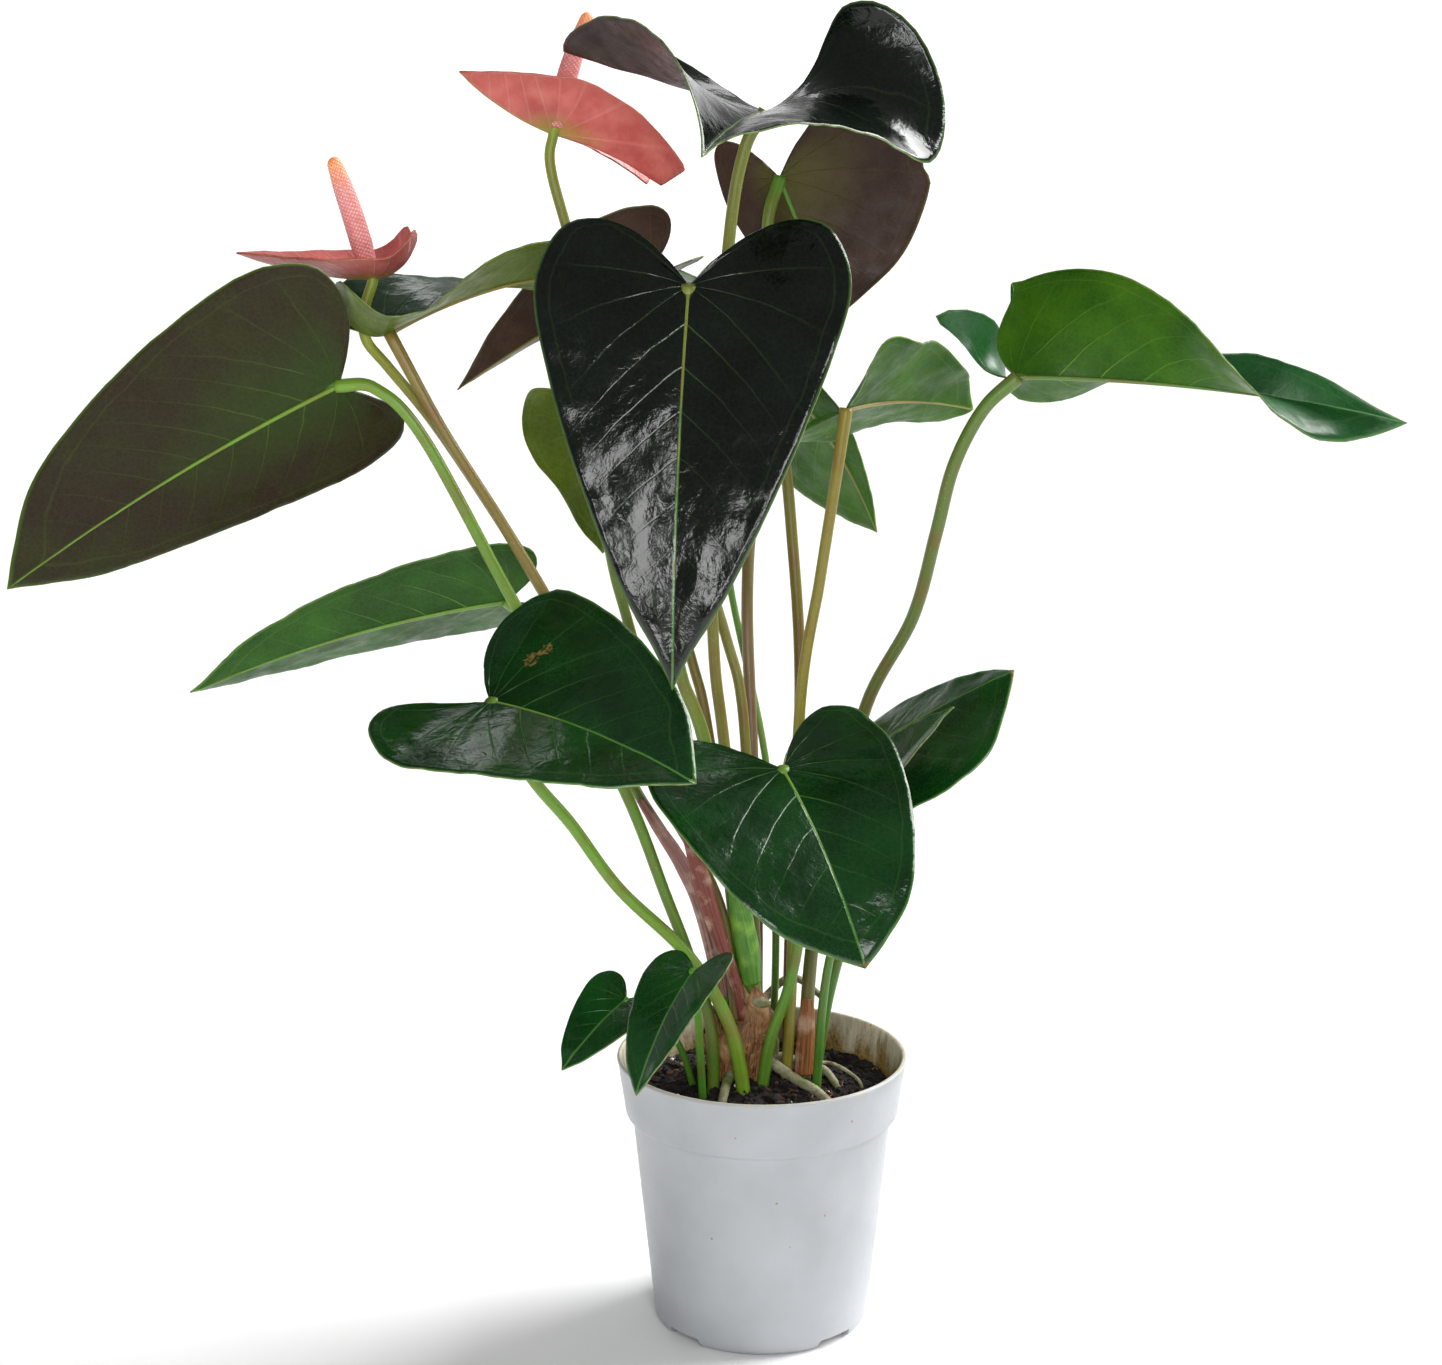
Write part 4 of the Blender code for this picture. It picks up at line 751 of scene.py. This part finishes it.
def make_blade(name, form, top, under, rim_look, thickness, node):
    """A blade as fine rings round the stalk's place, with its margin's small ripples."""
    form = {**PLAIN, **form}
    half = 60 if max(form["wide"]) > 30 else 40
    length = midrib(form)[3]
    left, right = (half_outline(half + 1, length, form["wide"][i], form["back"][i], form["full"][i])
                   for i in (0, 1))
    rim = np.vstack([left, right[::-1][1:] * (1, -1)])[1:-1]
    turns = np.linspace(-1, 1, len(rim) + 2)[1:-1]
    bm, shares = grid(len(rim) - 1, 24)
    column = np.rint(shares[:, 0] * (len(rim) - 1)).astype(int)
    ring = shares[:, 1]
    reach = ring.copy()
    if form["bite"]:
        place, half_wide, depth = form["bite"]
        gap = np.clip(1 - ((shares[:, 0] - place) / half_wide) ** 2, 0, 1)
        reach = ring * (1 - depth * gap)
    on_left = column < half
    turn = turns[column]
    along, across = rim[column, 0] * reach, rim[column, 1] * reach
    seed = sum(map(ord, name)) % 50
    bumps = np.array([noise.noise(Vector((a * 0.07 + seed, b * 0.07, seed)))
                      for a, b in zip(along, across)])
    edge = np.array([noise.noise(Vector((a * 0.16, b * 0.16, seed + 9))) for a, b in zip(along, across)])
    lift = form["ripple"] * (bumps * 1.6 * ring + edge * 1.4 * ring**4)
    field = vein_field(along, across, form)
    dip = np.abs(np.mod(field, 1) - 0.5) * 2
    lift = lift - 0.5 * form["ripple"] * dip**6 * np.clip(np.abs(across) / 6, 0, 1) * (1 - ring**4)
    points = bend_blade(along, across, on_left, ring, turn, form, lift)
    points = (np.array(form["at"]) + points @ directions(form)) * MM
    for vertex, point in zip(bm.verts, points):
        vertex.co = point
    map_faces(bm, "blade", np.stack([along / 100, across / 100 + 0.5], -1))
    map_faces(bm, "veins", np.stack([field, ring], -1))
    worn = bm.verts.layers.float.new("worn")
    tip = np.clip((along / length - form["dry_tip"][0]) / form["dry_tip"][1], 0, 1)
    for vertex, share in zip(bm.verts, tip):
        vertex[worn] = 0.9 * share
    for place, out, size in form["scars"]:
        far = np.hypot(along - place * length, across - out) / size
        for vertex, share in zip(bm.verts, np.clip(1.2 - far, 0, 0.55)):
            vertex[worn] = max(vertex[worn], share)
    bmesh.ops.remove_doubles(bm, verts=bm.verts, dist=1e-6)
    made = finish(bm, name, [top, under, rim_look], node)
    solid = made.modifiers.new("thickness", "SOLIDIFY")
    solid.thickness = thickness * MM
    solid.offset = 0
    solid.material_offset = 1
    solid.material_offset_rim = 2
    return made


def tube_faces(shares, line, radii, groove=0.0):
    """Points of a round skin about a line, from a grid whose columns go round and rows go along."""
    rows = len(line) - 1
    ahead = np.gradient(line, axis=0)
    ahead /= np.linalg.norm(ahead, axis=1)[:, None]
    side = np.cross(ahead[0], (0, 1, 0))
    sides, others = [], []
    for way in ahead:
        side = side - way * (side @ way)
        side = side / np.linalg.norm(side)
        sides.append(side)
        others.append(np.cross(way, side))
    sides, others = np.array(sides), np.array(others)
    row = np.rint(shares[:, 1] * rows).astype(int)
    angle = 2 * np.pi * shares[:, 0]
    radius = radii[row] * (1 - groove * np.exp(-((np.mod(angle - 1.2, 2 * np.pi) - np.pi) / 0.35) ** 2))
    return line[row] + radius[:, None] * (np.cos(angle)[:, None] * sides[row]
                                          + np.sin(angle)[:, None] * others[row])


def make_tube(name, line, radii, look, node, sides=16, steps=70, groove=0.0, tints=None, rough=0.0):
    """A round piece about a smooth line, closed at both ends."""
    path = smooth_line(line, steps + 1)
    radii = np.interp(np.linspace(0, 1, steps + 1), np.linspace(0, 1, len(radii)), radii)
    bm, shares = grid(sides, steps)
    points = tube_faces(shares, path, radii, groove)
    if rough:
        row = np.rint(shares[:, 1] * steps).astype(int)
        out = points - path[row]
        lumps = np.array([noise.fractal(Vector(p * 0.45), 1.0, 2.0, 3) for p in points])
        points = points + out * (rough * lumps[:, None])
    for vertex, point in zip(bm.verts, points * MM):
        vertex.co = point
    map_faces(bm, "round", shares)
    if tints is not None:
        layer = bm.verts.layers.float_color.new("tint")
        low, high = (np.array(colour(code)) for code in tints)
        for vertex, share in zip(bm.verts, shares[:, 1]):
            vertex[layer] = low + (high - low) * share
    close_up(bm)
    return finish(bm, name, [look], node)


def stalk_line(form, past=0.6):
    """A stalk's points, up to the blade and a little way into it."""
    line = [np.array(point, float) for point in form["stalk"]] + [np.array(form["at"], float)]
    way = line[-1] - line[-2]
    line[-1] = line[-1] + way / np.linalg.norm(way) * past
    return line


def rib_line(form, count=24, below=0.35):
    """The midrib's ridge, just under the blade."""
    form = {**PLAIN, **form}
    length = midrib(form)[3]
    along = np.linspace(0.0, 0.97, count) * length
    flat = np.zeros(count)
    points = bend_blade(along, flat, flat < 1, flat, flat, form, lift=-below)
    return np.array(form["at"]) + points @ directions(form)


def make_leaf(name, form):
    """A leaf: its blade, its grooved stalk, and the midrib's ridge below the blade."""
    make_blade(name + "_blade", form, SKINS[form["skin"]], UNDERS[form["under"]], MARGIN, BLADE_THICK, name)
    make_tube(name + "_stalk", stalk_line(form), form["radius"], STALK, name, groove=0.14,
              tints=form["stem"])
    thick = 1.0 if max(form["wide"]) > 30 else 0.6
    top = form["stem"][1]
    make_tube(name + "_rib", rib_line(form), (thick, thick * 0.8, thick * 0.45, 0.2), STALK, name,
              sides=8, steps=60, tints=(top, top))


def make_flower(name, form):
    """A flower: its stalk up to the spadix, the spathe, and the spadix."""
    foot = np.array(form["spadix"][0], float)
    way = np.subtract(form["spadix"][1], foot)
    way /= np.linalg.norm(way)
    line = [np.array(point, float) for point in form["stalk"]] + [foot - way * 4, foot - way * 0.3]
    make_tube(name + "_stalk_skin", line, (2.2, 2.1), STALK, name + "_stalk",
              tints=("#7A4A2A", "#93A832"))
    make_blade(name + "_spathe_wax", form, SPATHE_TOP, SPATHE_UNDER, SPATHE_EDGE, SPATHE_THICK,
               name + "_spathe")
    make_spadix(name, form)


def make_spadix(name, form):
    """A tapered rod, rounded at its tip, covered in spirals of low beads."""
    columns, rows = 84, 150
    path = smooth_line(form["spadix"], rows + 1)
    share = np.linspace(0, 1, rows + 1)
    radii = np.interp(share, np.linspace(0, 1, len(form["spadix_radius"])), form["spadix_radius"])
    radii = radii * np.sqrt(np.clip(1 - ((share - 0.94) / 0.06).clip(0) ** 2, 0.0, 1))
    bm, shares = grid(columns, rows)
    angle = shares[:, 0] * 2 * np.pi
    length = np.linalg.norm(path[-1] - path[0])
    up = shares[:, 1] * length
    beads = np.abs(np.sin(angle * 5 + up * 1.9) * np.sin(angle * 8 - up * 1.9))
    points = tube_faces(shares, path, radii)
    row = np.rint(shares[:, 1] * rows).astype(int)
    out = points - path[row]
    points = points + out * (0.085 * (beads - 0.5))[:, None]
    for vertex, point in zip(bm.verts, points * MM):
        vertex.co = point
    map_faces(bm, "round", shares)
    layer = bm.verts.layers.float_color.new("tint")
    for vertex, bead in zip(bm.verts, beads):
        vertex[layer] = (bead, bead, bead, 1)
    close_up(bm)
    finish(bm, name + "_spadix_beads", [SPADIX], name + "_spadix")


def spun(name, profile, segments, look, node):
    """A profile of (radius, height) turned about the pot's axis."""
    bm = bmesh.new()
    last = None
    for r, z in profile:
        vertex = bm.verts.new((r * MM, 0, z * MM))
        if last:
            bm.edges.new((last, vertex))
        last = vertex
    bmesh.ops.spin(bm, geom=bm.verts[:] + bm.edges[:], cent=(0, 0, 0), axis=(0, 0, 1), dvec=(0, 0, 0),
                   angle=math.tau, steps=segments, use_merge=True)
    bmesh.ops.remove_doubles(bm, verts=bm.verts, dist=1e-6)
    bmesh.ops.recalc_face_normals(bm, faces=bm.faces)
    made = finish(bm, name, [look], node)
    made.data.set_sharp_from_angle(angle=math.radians(38))
    return made


def make_pot():
    """The pot with its rolled lip, stepped collar, notched foot and raised floor."""
    def wall(z):
        """The outer radius of the wall at a height."""
        return 44.8 + 0.102 * z

    # From the middle of the floor up the inside to the lip, down the outside, and in under the foot.
    profile = [
        (0, 6), (20, 6), (wall(6) - 2.6, 6), (wall(7) - 1.6, 6.4), (wall(8) - 1.2, 8),
        (wall(50) - 1.2, 50), (wall(91) - 1.2, 91), (wall(91.6) - 1.1, 92.4), (55.2, 92.6), (55.7, 93.4),
        (57.0, 103.5), (58.3, 113.6), (58.4, 115.2), (58.7, 115.8), (59.2, 116.1), (59.8, 116.05),
        (60.25, 115.7), (60.42, 115.1), (60.3, 114.5), (60.0, 114.1), (59.2, 108), (58.0, 100),
        (57.0, 92.9), (56.7, 92.0), (56.2, 91.4), (55.2, 91.1), (54.6, 90.8), (54.2, 90.0), (wall(88), 88),
        (wall(60), 60), (wall(30), 30), (wall(6), 6), (45.2, 4.2), (44.8, 2.6), (44.1, 1.3), (43.0, 0.5),
        (41.6, 0.05), (40.7, 0.05), (40.4, 0.4), (40.2, 4.1), (39.8, 4.5), (25, 4.5), (12.4, 4.5),
        (12, 4.1), (12, 0.2), (11.8, 0.02), (0, 0.02),
    ]
    made = spun("pot_shell", profile, 144, POT, "pot")
    # Four notches in the foot, 18 mm wide and 4.2 mm high, with rounded upper corners.
    for i in range(4):
        bm = bmesh.new()
        bmesh.ops.create_cube(bm, size=1)
        bmesh.ops.scale(bm, vec=(0.012, 0.018, 0.0124), verts=bm.verts)
        bmesh.ops.translate(bm, vec=(0.0428, 0, -0.002), verts=bm.verts)
        upright = [e for e in bm.edges if abs(e.verts[0].co.y - e.verts[1].co.y) < 1e-6
                   and abs(e.verts[0].co.z - e.verts[1].co.z) < 1e-6 and e.verts[0].co.z > 0]
        bmesh.ops.bevel(bm, geom=upright, offset=0.0016, segments=3, profile=0.5, affect="EDGES", material=-1)
        cutter = put(bm, "notch")
        cutter.rotation_euler.z = math.radians(90 * i - 137)
        cut = made.modifiers.new("notch", "BOOLEAN")
        cut.operation = "DIFFERENCE"
        cut.object = cutter
        bpy.context.view_layer.update()
        graph = bpy.context.evaluated_depsgraph_get()
        mesh = bpy.data.meshes.new_from_object(made.evaluated_get(graph))
        made.modifiers.clear()
        made.data = mesh
        bpy.data.objects.remove(cutter)


def soil_height(x, y):
    """The soil's level, with a mound round the stem, low clods and a heap at the left, as the solid has it."""
    mound = 8.0 * math.exp(-((x + 4) ** 2 + y**2) / 25.0**2)
    clods = 0.8 * math.sin(x / 4.7 + 1) * math.sin(y / 5.3) + 0.5 * math.sin(x / 2.9 - y / 3.3 + 2)
    heap = 3.0 * math.exp(-((x + 38) ** 2 + (y - 18) ** 2) / 12**2)
    return SOIL_LEVEL + mound + clods + heap


def rough_soil(x, y):
    """The soil's surface with its crumbs."""
    coarse = noise.fractal(Vector((x * 0.16, y * 0.16, 3)), 0.8, 2.1, 4)
    fine = noise.turbulence(Vector((x * 0.55, y * 0.55, 7)), 3, False)
    return soil_height(x, y) + 1.5 * coarse + 1.0 * fine - 0.4


def make_soil():
    """Peat with a crumbly surface, and a short side that goes down to 93 mm."""
    columns, rows = 200, 96
    bm, shares = grid(columns, rows)
    for vertex, (u, v) in zip(bm.verts, shares):
        angle = u * math.tau
        if v > 0.12:
            r = 56.0 * (1 - (v - 0.12) / 0.88)
            x, y = r * math.cos(angle), r * math.sin(angle)
            ragged = 1.0 * noise.noise(Vector((math.cos(angle) * 6, math.sin(angle) * 6, 2)))
            rim = max(0.0, (r - 50) / 6)
            z = rough_soil(x, y) + rim * ragged
        else:
            z = 97 - (0.12 - v) / 0.12 * 4.0
            r = 56.0 - max(0.0, (98 - z) * 0.13)
            x, y = r * math.cos(angle), r * math.sin(angle)
        vertex.co = (x * MM, y * MM, z * MM)
    close_up(bm)
    bmesh.ops.recalc_face_normals(bm, faces=bm.faces)
    finish(bm, "soil_surface", [PEAT], "soil")


def scatter(name, look, count, sizes, seed, flat=1.0, reach=53.0, sunk=0.25, long=1.0):
    """Small lumps lying on the soil, each a squashed and roughened ball."""
    draw = np.random.default_rng(seed)
    bm = bmesh.new()
    made = 0
    while made < count:
        angle, far = draw.uniform(0, math.tau), reach * math.sqrt(draw.uniform())
        x, y = far * math.cos(angle), far * math.sin(angle)
        size = draw.uniform(*sizes)
        stretch = (draw.uniform(0.7, 1.3) * long, draw.uniform(0.7, 1.3), draw.uniform(0.6, 1.0) * flat)
        turn = draw.uniform(0, math.tau)
        made += 1
        ball = bmesh.ops.create_icosphere(bm, subdivisions=1, radius=size * MM / 2)["verts"]
        for vertex in ball:
            vertex.co *= 1 + 0.35 * noise.noise(vertex.co * 900 + Vector((made, 0, 0)))
        bmesh.ops.scale(bm, vec=stretch, verts=ball)
        cos, sin = math.cos(turn), math.sin(turn)
        z = rough_soil(x, y) + size * (0.5 - sunk) * flat
        for vertex in ball:
            a, b = vertex.co.x, vertex.co.y
            vertex.co = (a * cos - b * sin + x * MM, a * sin + b * cos + y * MM, vertex.co.z + z * MM)
    return finish(bm, name, [look], None, flat=True)


def make_fibres(name, look, count, seed):
    """Thin curved peat fibres and bits of old root, lying on the soil."""
    draw = np.random.default_rng(seed)
    bm = bmesh.new()
    for _ in range(count):
        angle, far = draw.uniform(0, math.tau), 50 * math.sqrt(draw.uniform())
        x, y = far * math.cos(angle), far * math.sin(angle)
        turn, length = draw.uniform(0, math.tau), draw.uniform(4, 13)
        bend, lift = draw.uniform(-1.2, 1.2), draw.uniform(0.2, 2.2)
        line = []
        for k in range(6):
            s = k / 5 - 0.5
            a = turn + bend * s
            px, py = x + math.cos(a) * length * s, y + math.sin(a) * length * s
            near = min(1.0, 52 / max(1e-6, math.hypot(px, py)))
            px, py = px * near, py * near
            line.append((px, py, rough_soil(px, py) + 0.4 + lift * (0.25 - s * s)))
        radius = draw.uniform(0.15, 0.4)
        part, shares = grid(5, 5)
        points = tube_faces(shares, np.array(line), np.full(6, radius)) * MM
        for vertex, point in zip(part.verts, points):
            vertex.co = point
        mesh = bpy.data.meshes.new("fibre")
        part.to_mesh(mesh)
        part.free()
        bm.from_mesh(mesh)
        bpy.data.meshes.remove(mesh)
    close_up(bm)
    return finish(bm, name, [look], None)


def make_stem():
    """The short ringed stem, with papery remains of old leaf bases, and the roots."""
    # Radius and height down the stem, a little wider at each old leaf scar.
    profile = ((0.2, 134), (9, 133.7), (13.2, 133.1), (14.4, 130), (14.0, 126), (14.4, 122), (13.2, 119),
               (12.8, 115), (11.2, 112), (10.2, 108), (8.6, 104), (7.6, 97))
    rows = 90
    line = even_line(np.array(profile, float), rows + 1)
    bm, shares = grid(96, rows)
    for vertex, (u, v) in zip(bm.verts, shares):
        r, z = line[rows - int(round(v * rows))]
        angle = u * math.tau
        crumple = noise.fractal(Vector((math.cos(angle) * 2.2, math.sin(angle) * 2.2, z * 0.09)), 0.9, 2.0, 4)
        ring = 0.35 * math.sin(z * 1.6 + 1.5 * math.sin(angle))
        r = max(0.1, r * (1 + 0.05 * crumple) + ring * 0.5)
        vertex.co = ((CROWN[0] + r * math.cos(angle)) * MM, (CROWN[1] + r * math.sin(angle)) * MM, z * MM)
    close_up(bm)
    bmesh.ops.recalc_face_normals(bm, faces=bm.faces)
    finish(bm, "stem_bark", [BARK], "stem_and_roots")
    for i, (path, radius) in enumerate(ROOTS):
        make_tube(f"root_{i + 1}", path, (radius * 1.05, radius, radius * 0.9, radius * 0.75), ROOT,
                  "stem_and_roots", sides=20, steps=60, rough=0.16)


def make_wrap(name, path, radii, look, node, facing=0.0, spread=75, narrows=0.6, thick=0.35, ragged=0.12):
    """A thin strip bent round a line: a sheath or a scale, facing the front or turned by some degrees."""
    rows, columns = 60, 28
    path = even_line(path, rows + 1)
    radii = np.interp(np.linspace(0, 1, rows + 1), np.linspace(0, 1, len(radii)), radii)
    ahead = np.gradient(path, axis=0)
    ahead /= np.linalg.norm(ahead, axis=1)[:, None]
    seed = sum(map(ord, name)) % 40
    toward = np.array([math.sin(math.radians(facing)), -math.cos(math.radians(facing)), 0])
    bm, shares = grid(columns, rows)
    for vertex, (u, v) in zip(bm.verts, shares):
        i = int(round(v * rows))
        way = ahead[i]
        front = toward - way * (toward @ way)
        front /= np.linalg.norm(front)
        right = np.cross(front, way)
        torn = 1 + ragged * noise.noise(Vector((u * 7, v * 9, seed)))
        angle = math.radians(spread) * (2 * u - 1) * (1 - narrows * v**3) * torn
        radius = radii[i] * (1 + 0.06 * noise.noise(Vector((u * 9, v * 5, seed))))
        point = path[i] + radius * (math.cos(angle) * front + math.sin(angle) * right)
        vertex.co = point * MM
    map_faces(bm, "round", shares)
    made = finish(bm, name, [look], node)
    solid = made.modifiers.new("thickness", "SOLIDIFY")
    solid.thickness = thick * MM
    solid.offset = 0


def make_sheath(name, form):
    """A dry sheath round a stalk, ragged and narrow at its top."""
    line = form.get("line")
    if "around" in form:
        line = stalk_part(form["around"], *form["heights"])
    look = papery("dried_" + name, form["colour"], "#4A2018", "#D9B8A0")
    make_wrap(name + "_paper", smooth_line(line, 7), form["radius"], look, name)


def stalk_part(leaf, low, high):
    """Part of a leaf's stalk line, between two heights."""
    stalk = smooth_line(stalk_line(LEAVES[leaf]), 400)
    return even_line(stalk[(stalk[:, 2] > low) & (stalk[:, 2] < high)], 7)


def make_crown():
    """Papery scales left round the stem, the swollen green foot of the large leaf's stalk, and a pale stub."""
    x, y = CROWN
    for i, (facing, foot, height, spread, radius) in enumerate(SCALES):
        upright = [(x, y, foot), (x, y, foot + height / 2), (x, y, foot + height)]
        make_wrap(f"stem_scale_{i + 1}", upright, (radius, radius + 0.7, radius + 1.1, radius + 0.4), SCALE,
                  "stem_and_roots", facing=facing, spread=spread, narrows=0.95, thick=0.3,
                  ragged=0.25)
    for i, (facing, low, high, spread, radius) in enumerate(FOOT_SCALES):
        make_wrap(f"foot_scale_{i + 1}", stalk_part("leaf_front_large", low, high),
                  (radius, radius + 0.8, radius + 0.2), SCALE, "leaf_front_large",
                  facing=facing, spread=spread, narrows=0.95, thick=0.3, ragged=0.25)
    make_wrap("large_leaf_foot", stalk_part("leaf_front_large", 148, 196), (3.9, 4.9, 5.1, 4.7, 4.1, 3.5), FOOT,
              "leaf_front_large", facing=-10, spread=150, narrows=0.55, thick=0.5, ragged=0.03)
    make_tube("stem_stub", ((-7, -6, 141.5), (-2, -8.5, 141.5), (3.2, -10, 140.8)), (2.4, 2.7, 2.5, 1.3), ROOT,
              "stem_and_roots", sides=20, steps=30, rough=0.2)


def make_studio():
    """A plain pale floor, a soft skylight from the right, four soft windows, and the camera at the
    photograph's angle."""
    bm = bmesh.new()
    bmesh.ops.create_grid(bm, x_segments=1, y_segments=1, size=6)
    floor = put(bm, "floor")
    floor.data.materials.append(
        start("pale_floor", Base_Color=colour("#F4F4F4"), Roughness=0.9, Specular_IOR_Level=0.1)[0])

    # A low white wall of light stands behind the plant. The rest of the room is dim, so the wax stays dark.
    world = bpy.data.worlds.new("studio")
    world.use_nodes = True
    tree = world.node_tree
    way = add(tree, "SeparateXYZ", {0: add(tree, "TexCoord").outputs["Generated"]})
    behind = add(tree, "MapRange", {0: way.outputs[1], 1: 0.1, 2: 0.5, 3: 0.0, 4: 1.0})
    low = add(tree, "MapRange", {0: way.outputs[2], 1: 0.05, 2: 0.3, 3: 1.0, 4: 0.12})
    wall = add(tree, "Math", {0: behind, 1: low}, operation="MULTIPLY")
    light = add(tree, "Math", {0: wall, 1: 1.05, 2: 0.2}, operation="MULTIPLY_ADD")
    tree.links.new(light.outputs[0], tree.nodes["Background"].inputs[1])
    tree.nodes["Background"].inputs[0].default_value = (1, 1, 1, 1)
    bpy.context.scene.world = world

    # The skylight stands where none of the leaves that face the camera mirrors it.
    sky = bpy.data.lights.new("skylight", "SUN")
    sky.energy = 5.1
    sky.angle = math.radians(40)
    lamp = bpy.data.objects.new("skylight", sky)
    lamp.rotation_euler = Vector((0.72, 0.32, 0.62)).to_track_quat("Z", "Y").to_euler()
    bpy.context.scene.collection.objects.link(lamp)

    def soft_light(name, place, target, size, power):
        """A window of light, turned to a target."""
        light = bpy.data.lights.new(name, "AREA")
        light.shape = "RECTANGLE"
        light.size, light.size_y = size
        light.energy = power
        lamp = bpy.data.objects.new(name, light)
        lamp.location = place
        lamp.rotation_euler = (Vector(target) - Vector(place)).to_track_quat("-Z", "Y").to_euler()
        bpy.context.scene.collection.objects.link(lamp)

    # The front windows put the streaks on the large dark leaf, the others those on the leaves below it.
    soft_light("tall_window", (0.14, -1.4, 0.80), (-0.03, 0, 0.35), (0.42, 0.75), 9)
    soft_light("roof_window", (0.25, 0.75, 1.25), (0, -0.05, 0.25), (0.35, 0.25), 0.9)
    soft_light("back_window", (-0.28, 0.9, 1.2), (-0.1, -0.05, 0.3), (0.4, 0.2), 0.6)
    soft_light("side_window", (-0.44, -1.35, 0.60), (-0.03, 0, 0.35), (0.25, 0.4), 3.2)

    # Lens, place and tilt come from the ellipses of the pot's rim and foot in the photograph.
    lens = bpy.data.cameras.new("camera")
    lens.lens = 69.55
    lens.sensor_width = 36
    lens.clip_start = 0.01
    camera = bpy.data.objects.new("camera", lens)
    camera.location = (-0.017, -1.100, 0.525)
    camera.rotation_euler = (math.radians(77.17), 0, 0)
    bpy.context.scene.collection.objects.link(camera)
    bpy.context.scene.camera = camera
    bpy.context.scene.view_settings.view_transform = "Standard"


make_studio()
make_pot()
make_soil()
make_stem()
make_crown()
for leaf_name, leaf_form in LEAVES.items():
    make_leaf(leaf_name, leaf_form)
for flower_name, flower_form in FLOWERS.items():
    make_flower(flower_name, flower_form)
for sheath_name, sheath_form in SHEATHS.items():
    make_sheath(sheath_name, sheath_form)
scatter("peat_crumbs", PEAT, 1500, (0.8, 3.4), 3)
scatter("perlite", PERLITE, 26, (1.0, 2.2), 5)
scatter("peat_clods", PEAT, 130, (3.0, 6.5), 21, sunk=0.4)
scatter("bark_bits", BARK, 60, (1.6, 4.2), 8, flat=0.5, long=1.6)
make_fibres("peat_fibres", TWIG, 170, 11)
